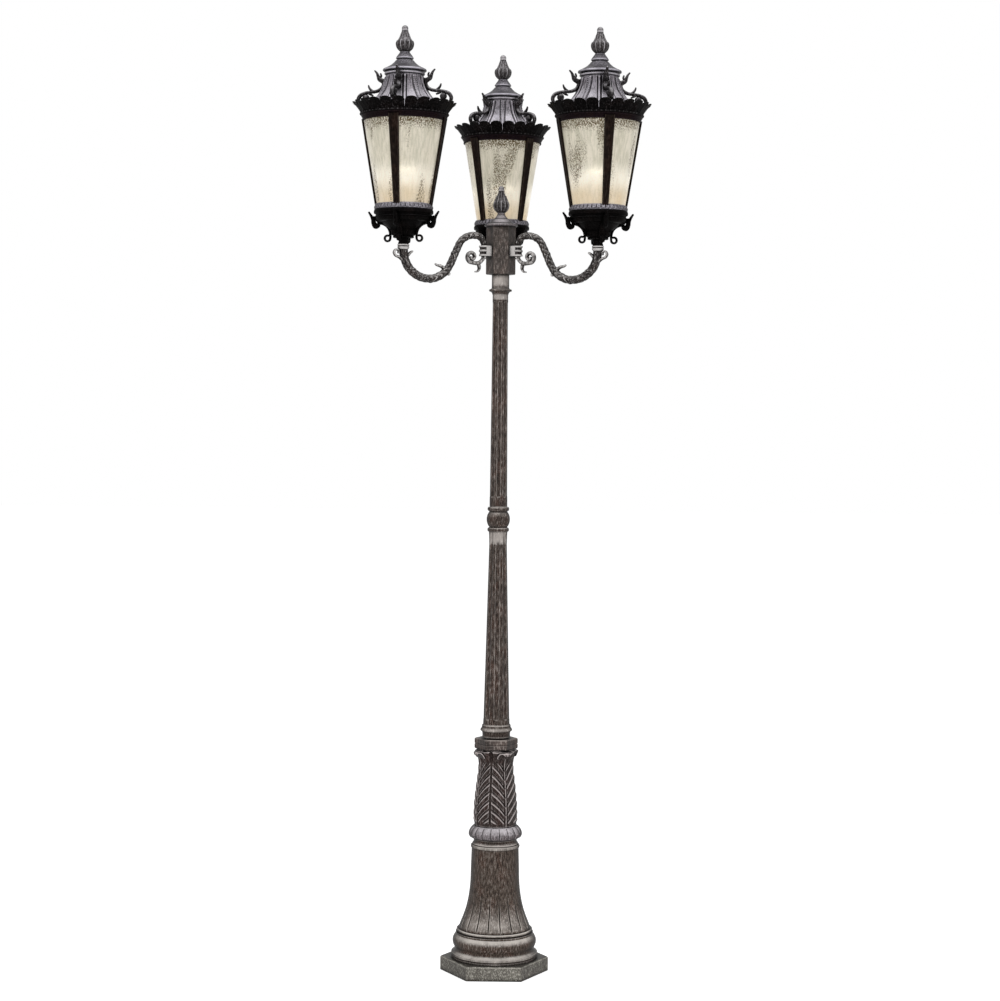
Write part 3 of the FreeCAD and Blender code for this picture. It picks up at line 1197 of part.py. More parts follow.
def bulb():
    """Screw-base lamp: base, neck and round envelope."""
    z = FRAME_Z + FRAME_FLOOR + SOCKET_FLOOR + CLEAR
    line = Outline(0.0, z)
    line.to(BULB_BASE_R - 3.0, z)
    line.to(BULB_BASE_R, z + 4.0)
    line.to(BULB_BASE_R, z + BULB_BASE_HEIGHT)
    line.to(BULB_NECK_R, z + BULB_BASE_HEIGHT + 1.0)
    shoulder = z + BULB_HEIGHT - BULB_R
    line.curve([(BULB_NECK_R + 3.5, z + BULB_SHOULDER_RISE - 14.0), (BULB_R - 3.0, shoulder - 12.0), (BULB_R, shoulder)])
    slant = BULB_R * math.sqrt(0.5)
    line.edges.append(Part.Arc(line.at, V(slant, 0, shoulder + slant), V(0, 0, shoulder + BULB_R)).toShape())
    line.at = V(0, 0, shoulder + BULB_R)
    return line.turned()


# ================================================================ assembly
def save(name, shape):
    """Check one sub-part and write it."""
    solids = shape.Solids
    if not solids or not shape.isValid():
        print("CHECK", name, "solids", len(solids), "valid", shape.isValid())
    print(name, len(solids), "solids", len(shape.Faces), "faces", round(shape.Volume))
    shape.exportStep(f"parts/{name}.step")


POST = {
    "base_plate": base_plate,
    "base_bell": base_bell,
    "base_urn": base_urn,
    "lower_shaft": lower_shaft,
    "mid_collar": mid_collar,
    "upper_shaft": upper_shaft,
    "top_neck": top_neck,
    "hub": hub,
    "hub_cap": hub_cap,
    "hub_finial": hub_finial,
    "core_pipe": core_pipe,
    "lock_nut": lock_nut,
    "arm_screws": arm_screws,
    "lead_connectors": lead_connectors,
}
ON_THE_ARM = {"arm": arm, "lead": lead}
ON_THE_LANTERN = {
    "cup": cup,
    "cup_brackets": cup_brackets,
    "frame": frame,
    "glass": glass,
    "bridge": bridge,
    "crown": crown,
    "roof": roof,
    "vent_cap": vent_cap,
    "finial": finial,
    "roof_scrolls": roof_scrolls,
    "nipple": nipple,
    "socket": socket,
    "bulb": bulb,
}


def main():
    """Build every piece once, and repeat the arm and lantern pieces for each azimuth."""
    os.makedirs("parts", exist_ok=True)
    for name, make in POST.items():
        save(name, make())
    for name, make in {**ON_THE_ARM, **ON_THE_LANTERN}.items():
        piece = make()
        if name in ON_THE_LANTERN:
            piece.translate(V(ARM_REACH, 0, 0))
        for side, azimuth in ARM_AZIMUTHS.items():
            save(f"{name}_{side}", turn(piece, azimuth))


main()
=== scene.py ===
"""Dresses the three-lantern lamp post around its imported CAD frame.

Sizes are millimetres in the frame's own axes: +Z up, front towards -Y. A lantern is drawn
about its own axis and an arm about the post's, each with the arm's outward way along +X.
"""

import logging
import math
from dataclasses import dataclass, field
from enum import Enum
from typing import Callable, Sequence

import bmesh
import bpy
import numpy as np
from mathutils import Matrix, Quaternion, Vector


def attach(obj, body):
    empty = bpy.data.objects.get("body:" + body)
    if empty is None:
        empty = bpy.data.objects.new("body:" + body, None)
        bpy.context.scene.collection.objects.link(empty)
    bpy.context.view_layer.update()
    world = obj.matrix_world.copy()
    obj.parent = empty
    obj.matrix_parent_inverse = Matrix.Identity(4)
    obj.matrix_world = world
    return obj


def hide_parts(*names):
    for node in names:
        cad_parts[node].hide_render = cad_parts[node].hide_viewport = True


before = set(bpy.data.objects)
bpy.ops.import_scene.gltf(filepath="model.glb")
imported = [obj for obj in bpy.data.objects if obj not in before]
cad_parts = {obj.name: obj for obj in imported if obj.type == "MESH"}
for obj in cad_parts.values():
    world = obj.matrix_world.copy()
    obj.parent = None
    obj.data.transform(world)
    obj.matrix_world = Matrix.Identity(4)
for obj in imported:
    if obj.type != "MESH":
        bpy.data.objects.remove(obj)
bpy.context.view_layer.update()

MM = 0.001
TAU = math.tau
ARM_REACH = 284.5
SEAT_Z = 1876.0
CUP_Z = 1887.0
FRAME_Z = 1973.0
GLASS_Z = 1977.0
FRAME_TOP_Z = 2211.0
ROOF_Z = 2215.0
VENT_Z = 2322.0
FINIAL_Z = 2371.0
BELL_Z = 36.8
URN_Z = 334.0
LOWER_Z = 613.0
UPPER_Z = 1218.0
HUB_FINIAL_Z = 1982.0
BUD_CLEAR = 0.1
PIPE_HOLE_R = 13.65
SHARP = math.radians(38.0)
PETAL_SHARP = math.radians(50.0)
URN_SHARP = math.radians(46.0)
WHITE = (1.0, 1.0, 1.0, 1.0)

Relief = Callable[[np.ndarray, np.ndarray, np.ndarray], np.ndarray]
Rows = Sequence[Sequence[float]]
Colour = tuple[float, float, float]


class Side(Enum):
    """The three arms, each with the azimuth it points to."""

    LEFT = 210.0
    RIGHT = 330.0
    REAR = 90.0

    @property
    def label(self) -> str:
        """The side's name as the nodes carry it."""
        return self.name.lower()

    def place(self, reach: float, twist: float = 0.0) -> Matrix:
        """Where a piece drawn about its own axis stands on this side.

        Args:
            reach: distance of the piece's axis from the post's axis.
            twist: how far the piece is turned about its own axis, in degrees.

        Returns:
            The matrix that takes the piece there, in metres.
        """
        turn = Matrix.Rotation(math.radians(self.value), 4, "Z")
        own = Matrix.Rotation(math.radians(twist), 4, "Z")
        return turn @ Matrix.Translation((reach * MM, 0.0, 0.0)) @ own


def srgb(red: int, green: int, blue: int) -> Colour:
    """A linear colour from display values of 0 to 255."""
    return tuple((c / 255 / 12.92) if c < 11 else ((c / 255 + 0.055) / 1.055) ** 2.4 for c in (red, green, blue))


# ---------------------------------------------------------------- finishes
FINE = 360.0
GRAINS = 800.0
PATCHES = (42.0, 24.0)


class Value:
    """A number socket whose arithmetic adds Math nodes."""

    def __init__(self, web: "Web", socket: bpy.types.NodeSocket) -> None:
        """Keeps the socket and the web it belongs to."""
        self.web = web
        self.socket = socket

    def __add__(self, other: "Value | float") -> "Value":
        """The sum of two values."""
        return self.web.maths("ADD", self, other)

    def __sub__(self, other: "Value | float") -> "Value":
        """The difference of two values."""
        return self.web.maths("SUBTRACT", self, other)

    def __rsub__(self, other: float) -> "Value":
        """A number less this value."""
        return self.web.maths("SUBTRACT", other, self)

    def __mul__(self, other: "Value | float") -> "Value":
        """The product of two values."""
        return self.web.maths("MULTIPLY", self, other)

    __radd__ = __add__
    __rmul__ = __mul__


class Web:
    """The node tree of one material or world, and the ways to add to it."""

    def __init__(self, owner: bpy.types.Material | bpy.types.World) -> None:
        """Starts an empty tree.

        Args:
            owner: the material or world that it belongs to.
        """
        self.owner = owner
        owner.use_nodes = True
        self.tree = owner.node_tree
        self.tree.nodes.clear()

    def node(self, kind: str, settings: dict | None = None, sockets: dict | None = None) -> bpy.types.Node:
        """Adds one node.

        Args:
            kind: the node's type.
            settings: properties, set before the sockets.
            sockets: values or links by socket name or number.

        Returns:
            The new node.
        """
        made = self.tree.nodes.new(kind)
        for key, value in (settings or {}).items():
            setattr(made, key, value)
        for key, value in (sockets or {}).items():
            if isinstance(value, Value):
                self.tree.links.new(value.socket, made.inputs[key])
            elif isinstance(value, bpy.types.NodeSocket):
                self.tree.links.new(value, made.inputs[key])
            else:
                made.inputs[key].default_value = value
        return made

    def place(self) -> tuple[bpy.types.NodeSocket, Value]:
        """Where a point sits on its object, and how high that is."""
        at = self.node("ShaderNodeTexCoord").outputs["Object"]
        apart = self.node("ShaderNodeSeparateXYZ", None, {0: at})
        return at, Value(self, apart.outputs[2])

    def maths(self, operation: str, a: "Value | float", b: "Value | float" = 0.0) -> Value:
        """Adds one Math node.

        Args:
            operation: what it works out.
            a: first value.
            b: second value.

        Returns:
            Its result.
        """
        return Value(self, self.node("ShaderNodeMath", {"operation": operation}, {0: a, 1: b}).outputs[0])

    def noise(self, at: bpy.types.NodeSocket, across: float, along: float, detail: float = 3.0) -> Value:
        """Noise stretched along the upright axis.

        Args:
            at: the coordinates.
            across: features per metre along X and Y.
            along: features per metre along Z.
            detail: how many finer layers it has.

        Returns:
            The noise, around a half.
        """
        placed = self.node("ShaderNodeVectorMath", {"operation": "MULTIPLY"}, {0: at, 1: (across, across, along)})
        made = self.node("ShaderNodeTexNoise", None, {"Vector": placed.outputs[0], "Scale": 1.0, "Detail": detail})
        return Value(self, made.outputs[0])

    def window(self, value: Value, low: float, high: float) -> Value:
        """Eases a value from nought at low to one at high."""
        spread = {"Value": value, "From Min": low, "From Max": high}
        made = self.node("ShaderNodeMapRange", {"interpolation_type": "SMOOTHSTEP"}, spread)
        return Value(self, made.outputs[0])

    def blend(self, share: "Value | float", a: object, b: object) -> bpy.types.NodeSocket:
        """Mixes two colours.

        Args:
            share: how much of the second colour shows.
            a: first colour or its socket.
            b: second colour or its socket.

        Returns:
            The mixed colour's socket.
        """
        full = [(*c, 1.0) if isinstance(c, tuple) else c for c in (a, b)]
        made = self.node("ShaderNodeMix", {"data_type": "RGBA"}, {0: share, 6: full[0], 7: full[1]})
        return made.outputs[2]

    def bump(self, height: Value, distance: float, strength: float) -> bpy.types.NodeSocket:
        """A normal raised by a height in metres."""
        sockets = {"Height": height, "Distance": distance, "Strength": strength}
        return self.node("ShaderNodeBump", None, sockets).outputs[0]

    def surface(self, sockets: dict) -> bpy.types.Material:
        """Ends the tree in a Principled shader.

        Args:
            sockets: the shader's values and links.

        Returns:
            The finished material.
        """
        shader = self.node("ShaderNodeBsdfPrincipled", None, sockets)
        self.node("ShaderNodeOutputMaterial", None, {"Surface": shader.outputs[0]})
        return self.owner


@dataclass(frozen=True)
class CastFinish:
    """Weathered casting: a mottled coat with dark pits and pale wear on edges, painted shade in hollows and towards
    grazing angles, and upper faces lighter from wear and a painted highlight.
    """

    name: str
    # Colour of the dark pits, and of the painted shade in hollows and towards grazing angles.
    dark: Colour
    base: Colour
    # Pale colour of the wear, and of the painted highlight on upper faces.
    wash: Colour
    # up: how far upper faces take the pale colour: partly wear, partly a painted highlight from above.
    up: float = 0.3
    edge: float = 0.8
    speck: float = 0.5
    tint: Colour = srgb(96, 66, 54)
    tinted: float = 0.4
    long: float = 5.0
    gloss: float = 0.3
    keen: tuple[float, float] = (0.504, 0.54)
    # reach: how far the painted shade in hollows looks for nearby surfaces, in metres.
    reach: float = 0.012
    grain: float = 0.5
    # rim: strength of the painted shade towards grazing angles.
    rim: float = 0.75
    roughness: float = 0.46
    metallic: float = 0.05
    ior: float = 1.25

    def build(self) -> bpy.types.Material:
        """Makes the material.

        Returns:
            The material.
        """
        web = Web(bpy.data.materials.new(self.name))
        at = web.node("ShaderNodeTexCoord").outputs["Object"]
        shape = web.node("ShaderNodeNewGeometry")
        facing = web.node("ShaderNodeSeparateXYZ", None, {0: shape.outputs["Normal"]})
        # Upper faces: partly pale wear, partly a painted highlight from light above.
        top_lit_and_worn = web.window(Value(web, facing.outputs[2]), 0.08, 0.8)
        edges = web.window(Value(web, shape.outputs["Pointiness"]), *self.keen)
        # Painted shade: hollows and creases found by the Ambient Occlusion node go towards the dark colour and lose
        # their pale wear.
        occlusion_shade = web.node("ShaderNodeAmbientOcclusion", {"samples": 6}, {"Distance": self.reach})
        hollow = web.window(Value(web, occlusion_shade.outputs["AO"]), 0.95, 0.55)
        # Painted shade: surfaces turned towards grazing angles go dark and lose their pale wear, as if the light fell
        # off at the sides.
        turned = web.node("ShaderNodeLayerWeight", None, {"Blend": 0.5})
        away = web.window(Value(web, turned.outputs["Facing"]), 0.18, 0.8) * self.rim
        fine = web.noise(at, FINE, FINE / self.long, 4.0)
        grains = web.noise(at, GRAINS, GRAINS)
        patches = web.noise(at, *PATCHES)
        flakes = web.window(fine * 0.6 + grains * 0.4, 0.51, 0.62)
        pits = web.window(fine * 0.5 + grains * 0.5, 0.52, 0.42)
        # Pale marks: real wear on specks and edges, plus a painted highlight on upper faces, all held back in the
        # painted shade.
        wear = flakes * self.speck + top_lit_and_worn * self.up + edges * self.edge
        wear = wear * (patches * 1.5 + 0.2) * (1.0 - hollow * 0.9) * (1.0 - away * 0.9)
        wear = web.window(wear, 0.0, 1.1)
        coat = web.blend(web.window(patches, 0.45, 0.65) * self.tinted, self.base, self.tint)
        # Dark marks: real pits, plus painted shade in hollows and towards grazing angles.
        shade = web.maths("MAXIMUM", web.maths("MAXIMUM", pits * 0.85, hollow), away)
        coat = web.blend(shade, coat, self.dark)
        rough = (grains - 0.5) * 0.35 + (self.roughness - wear * 0.06)
        return web.surface({
            "Base Color": web.blend(wear, coat, self.wash), "Metallic": self.metallic, "Roughness": rough,
            "Specular IOR Level": self.gloss, "IOR": self.ior,
            "Normal": web.bump(fine * 0.6 + grains * 0.4, 0.0014, self.grain),
        })


@dataclass(frozen=True)
class SeededGlass:
    """Pale champagne glass full of seeds, with painted light: it glows as if lit from inside, brightest in a band round
    the bulb.
    """

    name: str = "seeded_glass"
    body: Colour = srgb(210, 204, 190)
    cloudy: Colour = srgb(188, 184, 168)
    amber: Colour = srgb(218, 198, 166)
    # white: colour of the painted glow band round the bulb.
    white: Colour = srgb(252, 249, 240)
    seed: Colour = srgb(84, 70, 44)

    def build(self) -> bpy.types.Material:
        """Makes the material.

        Returns:
            The material.
        """
        web = Web(bpy.data.materials.new(self.name))
        at, height = web.place()
        drawn = web.noise(at, 210.0, 8.0)
        clouds = web.noise(at, 34.0, 14.0)
        columns = web.window(web.noise(at, 24.0, 3.0, 1.0), 0.5, 0.64)
        seeds = web.noise(at, 430.0, 300.0, 2.0)
        top = web.window(height, (FRAME_TOP_Z - 56.0) * MM, (FRAME_TOP_Z - 22.0) * MM)
        crowd = web.maths("MAXIMUM", top, columns * 0.8) + 0.15
        spots = web.window(seeds + crowd * 0.13, 0.58, 0.69) * crowd
        low = web.window(height, (GLASS_Z + 110.0) * MM, (GLASS_Z + 10.0) * MM)
        # Painted pool of light: a whiter band on the glass round the bulb's height.
        painted_bulb_glow = web.window(height, (GLASS_Z + 30.0) * MM, (GLASS_Z + 72.0) * MM)
        painted_bulb_glow = painted_bulb_glow * web.window(height, (GLASS_Z + 122.0) * MM, (GLASS_Z + 76.0) * MM)
        grey = web.blend(web.window(drawn * 0.6 + clouds * 0.4, 0.4, 0.6), self.body, self.cloudy)
        warm = web.blend(low * (clouds * 0.9 + 0.1), grey, self.amber)
        lit = web.blend(painted_bulb_glow * (clouds * 0.7 + 0.05), warm, self.white)
        colour = web.blend(spots, lit, self.seed)
        normal = web.bump(seeds * 0.5 + drawn * 0.5, 0.0018, 0.6)
        # Painted light: the glass emits its own colour, as if lit by the bulb.
        return web.surface({
            "Base Color": colour, "Roughness": 0.3, "Transmission Weight": 0.3, "IOR": 1.3,
            "Emission Color": colour, "Emission Strength": 0.34, "Normal": normal,
        })


@dataclass(frozen=True)
class LampGlass:
    """The frosted bulb, bright where its filament sits."""

    name: str = "bulb_glass"
    glow: Colour = (1.0, 0.92, 0.8)
    middle_z: float = 2074.0
    half_m: float = 0.015
    strength: float = 4.0

    def build(self) -> bpy.types.Material:
        """Makes the material.

        Returns:
            The material.
        """
        web = Web(bpy.data.materials.new(self.name))
        at, height = web.place()
        middle = self.middle_z * MM
        lit = web.window(height, middle - self.half_m, middle) * web.window(height, middle + self.half_m, middle)
        cloud = web.noise(at, 90.0, 90.0, 2.0)
        shown = web.blend(lit * (0.85 + cloud * 0.3), (0.12, 0.1, 0.07), self.glow)
        return web.surface({
            "Base Color": web.blend(cloud, srgb(214, 206, 188), srgb(250, 244, 230)), "Roughness": 0.35,
            "Emission Color": shown, "Emission Strength": self.strength,
        })


@dataclass(frozen=True)
class PlainFinish:
    """A small part's finish: one colour with wear, grain and uneven gloss."""

    name: str
    base: Colour
    worn: Colour
    metallic: float
    roughness: float

    def build(self) -> bpy.types.Material:
        """Makes the material.

        Returns:
            The material.
        """
        web = Web(bpy.data.materials.new(self.name))
        at, _ = web.place()
        wear = web.noise(at, 120.0, 40.0)
        fine = web.noise(at, 900.0, 900.0, 2.0)
        colour = web.blend(web.window(wear, 0.4, 0.7), self.base, self.worn)
        return web.surface({
            "Base Color": colour, "Metallic": self.metallic, "Roughness": (fine - 0.5) * 0.3 + self.roughness,
            "Normal": web.bump(fine, 0.0004, 0.3),
        })


@dataclass
class Finishes:
    """Every finish on the lamp post, made once."""

    made: dict[str, bpy.types.Material] = field(default_factory=dict)

    def build(self) -> "Finishes":
        """Makes all the materials.

        Returns:
            This set, filled.
        """
        black, blunt = srgb(6, 5, 5), (0.53, 0.62)
        for finish in (
            CastFinish("base_casting", srgb(16, 13, 11), srgb(104, 99, 92), srgb(204, 200, 190), 0.35, 0.3, 0.75,
                       srgb(82, 80, 62), 0.4, 2.0),
            CastFinish("bell_casting", srgb(14, 10, 8), srgb(92, 80, 72), srgb(214, 207, 200), 1.2, 0.6, 0.4, rim=0.95),
            CastFinish("gadroon_casting", srgb(10, 8, 8), srgb(130, 122, 124), srgb(224, 218, 222), 0.8, 0.7, 0.35,
                       srgb(104, 82, 82), rim=0.95),
            CastFinish("urn_casting", srgb(8, 6, 6), srgb(62, 52, 48), srgb(196, 186, 184), 0.4, 1.1, 0.4,
                       srgb(84, 60, 54), rim=0.9),
            CastFinish("post_casting", srgb(10, 7, 6), srgb(84, 73, 67), srgb(204, 196, 190), 0.8, 0.7, 0.45, rim=0.95),
            CastFinish("hub_casting", black, srgb(66, 57, 53), srgb(176, 166, 160), 0.5, 0.25, 0.45),
            CastFinish("arm_casting", black, srgb(54, 49, 48), srgb(216, 212, 210), 0.55, 1.4, 0.5,
                       srgb(72, 58, 50), keen=(0.512, 0.56), rim=0.9),
            CastFinish("cup_casting", srgb(2, 2, 2), srgb(16, 14, 14), srgb(122, 119, 123), 0.1, 0.35, 0.1,
                       srgb(30, 22, 20), 0.3, 2.0, 0.1, blunt, grain=0.2, ior=1.12),
            CastFinish("petal_casting", srgb(2, 2, 2), srgb(15, 13, 13), srgb(132, 127, 129), 0.1, 0.4, 0.25,
                       srgb(30, 21, 19), 0.3, 3.0, 0.1, blunt, grain=0.2, ior=1.12),
            CastFinish("band_casting", srgb(5, 3, 4), srgb(30, 21, 24), srgb(104, 90, 98), 0.2, 0.1, 0.1,
                       srgb(40, 26, 20), 0.4, 1.0, 0.1, ior=1.15),
            CastFinish("rib_casting", srgb(10, 8, 7), srgb(34, 27, 24), srgb(92, 80, 72), 0.1, 0.25, 0.3,
                       srgb(50, 34, 27), 0.4, 6.0, 0.1, ior=1.15),
            CastFinish("roof_casting", srgb(12, 10, 12), srgb(158, 152, 160), srgb(236, 231, 240), 0.8, 0.6, 0.35,
                       srgb(104, 95, 100), 0.6, 7.0, 0.3, reach=0.018, rim=0.4),
            CastFinish("silver_casting", srgb(18, 16, 18), srgb(112, 108, 114), srgb(206, 202, 212), 0.3, 0.8, 0.5,
                       srgb(64, 58, 60), 0.8, 1.0),
            CastFinish("scroll_casting", black, srgb(44, 41, 42), srgb(196, 192, 196), 0.7, 0.1, 0.35,
                       srgb(60, 52, 50), 0.4, 2.0, 0.2),
            CastFinish("bud_casting", black, srgb(72, 68, 68), srgb(206, 202, 206), 0.5, 1.0, 0.35,
                       srgb(56, 48, 46), 0.4, 2.0),
            SeededGlass(), LampGlass(),
            PlainFinish("lampholder", srgb(196, 160, 108), srgb(150, 112, 70), 0.0, 0.45),
            PlainFinish("steel_hardware", srgb(150, 148, 144), srgb(96, 92, 88), 0.9, 0.38),
            PlainFinish("lead_insulation", srgb(38, 36, 35), srgb(58, 55, 52), 0.0, 0.6),
        ):
            self.made[finish.name] = finish.build()
        return self

    def __getitem__(self, name: str) -> bpy.types.Material:
        """The material of that name."""
        return self.made[name]


# ---------------------------------------------------------------- mesh making
def through(points: Rows, step: float = 2.0) -> np.ndarray:
    """A smooth curve through points, with any further columns eased along.

    Args:
        points: rows of two coordinates, then anything else.
        step: how far apart the new points are.

    Returns:
        The curve's rows.
    """
    p = np.array(points, float)
    gap = np.linalg.norm(np.diff(p[:, :2], axis=0), axis=1)[:, None]
    slope = np.diff(p, axis=0) / gap
    inner = (slope[1:] * gap[:-1] + slope[:-1] * gap[1:]) / (gap[1:] + gap[:-1])
    tangent = np.vstack([1.5 * slope[:1] - 0.5 * inner[:1], inner, 1.5 * slope[-1:] - 0.5 * inner[-1:]])
    rows = [p[:1]]
    for i, length in enumerate(gap[:, 0]):
        t = np.linspace(0, 1, max(2, round(length / step)) + 1)[1:, None]
        rows.append(
            (2 * t**3 - 3 * t**2 + 1) * p[i] + (t**3 - 2 * t**2 + t) * length * tangent[i]
            + (3 * t**2 - 2 * t**3) * p[i + 1] + (t**3 - t**2) * length * tangent[i + 1]
        )
    return np.vstack(rows)


def lifted(height: float, *parts: Rows | np.ndarray) -> np.ndarray:
    """One outline from several runs of radius and height, raised to where its node stands."""
    return np.vstack([np.array(part, float) for part in parts]) + [0.0, height]


def bars(height: float, *runs: tuple[float, Rows]) -> list[np.ndarray]:
    """Smooth bars, each from its step and its rows of x, z, half depth and half width, raised together."""
    return [through(rows, step) + [0.0, height, 0.0, 0.0] for step, rows in runs]


def dip(value: np.ndarray, middle: float | np.ndarray, half: float | np.ndarray) -> np.ndarray:
    """A bell curve: one at its middle, falling off to both sides."""
    return np.exp(-(((value - middle) / half) ** 2))


def bow(start: Sequence[float], end: Sequence[float], bulge: float, count: int = 8) -> np.ndarray:
    """An arc that bulges to the right of the way it runs, without its start.

    Args:
        start: where it starts.
        end: where it ends.
        bulge: how far its middle stands off the straight line.
        count: how many points it gets.

    Returns:
        The points after the start.
    """
    a, b = np.array(start, float), np.array(end, float)
    run = b - a
    side = np.array([run[1], -run[0]]) / np.linalg.norm(run)
    t = np.linspace(0, 1, count + 1)[1:, None]
    return a + run * t + side * bulge * 4 * t * (1 - t)


def ends_round(rows: np.ndarray, step: int = 3) -> np.ndarray:
    """Adds shrinking rows at both ends of a bar, so that its ends are round.

    Args:
        rows: x, z, half depth and half width along the bar.
        step: how many rows each end gets.

    Returns:
        The longer rows.
    """
    out = []
    for end, sign in ((0, -1.0), (-1, 1.0)):
        way = rows[end, :2] - rows[1 if end == 0 else -2, :2]
        way = way / np.linalg.norm(way)
        turn = np.linspace(0, math.pi / 2, step + 2)[1:-1, None]
        reach = min(rows[end, 2:4])
        cap = np.hstack([rows[end, :2] + way * reach * np.sin(turn), rows[end, 2:4] * np.cos(turn)])
        out.append(cap if sign > 0 else cap[::-1])
    return np.vstack([out[0], rows[:, :4], out[1]])


def lobes(theta: np.ndarray, count: int, first: float = 0.0) -> np.ndarray:
    """Arches round a ring: nought between two lobes, one at the middle of each."""
    share = (theta * count / TAU + first) % 1.0
    return 1.0 - (2.0 * share - 1.0) ** 2


def ease(value: np.ndarray, low: float, high: float) -> np.ndarray:
    """Rises smoothly from nought at low to one at high."""
    t = np.clip((value - low) / (high - low), 0.0, 1.0)
    return t * t * (3.0 - 2.0 * t)


class Piece:
    """One mesh being gathered from closed skins, in millimetres."""

    def __init__(self, name: str) -> None:
        """Starts an empty piece.

        Args:
            name: the object's name.
        """
        self.name = name
        self.points: list[np.ndarray] = []
        self.faces: list[np.ndarray] = []
        self.count = 0

    def skin(self, rings: np.ndarray, joined: bool = False) -> "Piece":
        """Joins rings of points into a closed skin.

        Args:
            rings: points as (rings, around, 3).
            joined: the last ring meets the first, so there are no ends to cap.

        Returns:
            This piece.
        """
        n, m, _ = rings.shape
        number = self.count + np.arange(n * m).reshape(n, m)
        following = np.roll(number, -1, axis=0) if joined else number[1:]
        current = number if joined else number[:-1]
        quads = np.stack([current, np.roll(current, -1, 1), np.roll(following, -1, 1), following], -1)
        self.faces.append(quads.reshape(-1, 4))
        self.points.append(rings.reshape(-1, 3))
        self.count += n * m
        if not joined:
            for ring, row in ((number[0], rings[0]), (number[-1], rings[-1])):
                self.points.append(row.mean(0)[None])
                hub = np.full(m, self.count)
                self.faces.append(np.stack([ring, np.roll(ring, -1), hub], -1))
                self.count += 1
        return self

    def turned(self, outline: np.ndarray, around: int = 96, relief: Relief | None = None,
               joined: bool = True) -> "Piece":
        """Turns an outline about the upright axis.

        Args:
            outline: rows of radius and height.
            around: how many steps a full turn takes.
            relief: what to add to the radius, from angle, radius and height.
            joined: the outline closes on itself; otherwise its ends are capped.

        Returns:
            This piece.
        """
        theta = np.linspace(0, TAU, around, endpoint=False)[None, :]
        r, z = outline[:, :1], outline[:, 1:2]
        radius = r + relief(theta, r, z) if relief else np.repeat(r, around, 1)
        return self.skin(np.stack([radius * np.cos(theta), radius * np.sin(theta), z + 0 * theta], -1), joined)

    def bar(self, rows: np.ndarray, around: int = 16, square: float = 2.0, relief: Relief | None = None,
            azimuth: float = 0.0) -> "Piece":
        """Sweeps a bar along a curve in an upright plane.

        Args:
            rows: x, z, half depth in the plane and half width across it.
            around: how many points its section has.
            square: 2 for an oval section, more for a boxier one.
            relief: what to add to the section, from its angle, the distance run and the half depth.
            azimuth: which way the plane points, in degrees.

        Returns:
            This piece.
        """
        rows = ends_round(rows)
        way = np.gradient(rows[:, :2], axis=0)
        way /= np.linalg.norm(way, axis=1)[:, None] + 1e-9
        run = np.concatenate([[0.0], np.cumsum(np.linalg.norm(np.diff(rows[:, :2], axis=0), axis=1))])[:, None]
        angle = np.linspace(0, TAU, around, endpoint=False)[None, :]
        c, s = np.cos(angle), np.sin(angle)
        power = 2.0 / square
        depth, width = rows[:, 2:3], rows[:, 3:4]
        more = relief(angle, run, depth) if relief else 0.0
        deep = (depth + more) * np.sign(c) * np.abs(c) ** power
        wide = (width + more) * np.sign(s) * np.abs(s) ** power
        x = rows[:, :1] - way[:, 1:2] * deep
        z = rows[:, 1:2] + way[:, :1] * deep
        a = math.radians(azimuth)
        return self.skin(np.stack([x * math.cos(a) - wide * math.sin(a), x * math.sin(a) + wide * math.cos(a), z], -1))

    def beads(self, count: int, ring_r: float, z: float, size: float, first: float = 0.5, tall: float = 1.0) -> "Piece":
        """Adds a ring of small beads.

        Args:
            count: how many.
            ring_r: radius of the ring they sit on.
            z: height of their middles.
            size: radius of a bead.
            first: where the first one sits, in steps.
            tall: height of a bead over its width.

        Returns:
            This piece.
        """
        rise = np.linspace(-math.pi / 2, math.pi / 2, 7)[1:-1]
        turn = np.linspace(0, TAU, 8, endpoint=False)
        for i in range(count):
            a = TAU * (i + first) / count
            middle = np.array([ring_r * math.cos(a), ring_r * math.sin(a), z])
            rings = [[[math.cos(v) * math.cos(u), math.cos(v) * math.sin(u), tall * math.sin(v)] for u in turn]
                     for v in rise]
            self.skin(middle + size * np.array(rings))
        return self

    def shown(self, finish: bpy.types.Material, body: str, slot: str, node: str, place: Matrix | None = None,
              sharp: float = SHARP) -> None:
        """Makes the object, hangs it on the body that carries it, and hides the CAD node it stands for, if any.

        Args:
            finish: its material.
            body: the CAD body it moves with.
            slot: not used.
            node: the CAD node it stands for, or nothing where another piece of the same node does.
            place: where a piece drawn about its own axis goes.
            sharp: the angle from which an edge stays crisp.
        """
        mesh = bpy.data.meshes.new(self.name)
        faces = [tuple(f) for group in self.faces for f in group.tolist()]
        points = np.vstack(self.points) * MM
        if place is not None:
            moved = np.array(place)
            points = points @ moved[:3, :3].T + moved[:3, 3]
        mesh.from_pydata(points.tolist(), [], faces)
        work = bmesh.new()
        work.from_mesh(mesh)
        bmesh.ops.remove_doubles(work, verts=work.verts, dist=1e-6)
        bmesh.ops.recalc_face_normals(work, faces=work.faces)
        work.to_mesh(mesh)
        work.free()
        mesh.shade_smooth()
        mesh.set_sharp_from_angle(angle=sharp)
        mesh.materials.append(finish)
        made = bpy.data.objects.new(self.name, mesh)
        bpy.context.scene.collection.objects.link(made)
        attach(made, body)
        if node:
            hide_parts(node)
        logging.info("%s: %d faces on %s", self.name, len(mesh.polygons), body)


def dress(node: str, finish: bpy.types.Material) -> None:
    """Gives a CAD node its finish."""
    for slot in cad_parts[node].material_slots:
        slot.material = finish
    logging.info("%s: %s", node, finish.name)


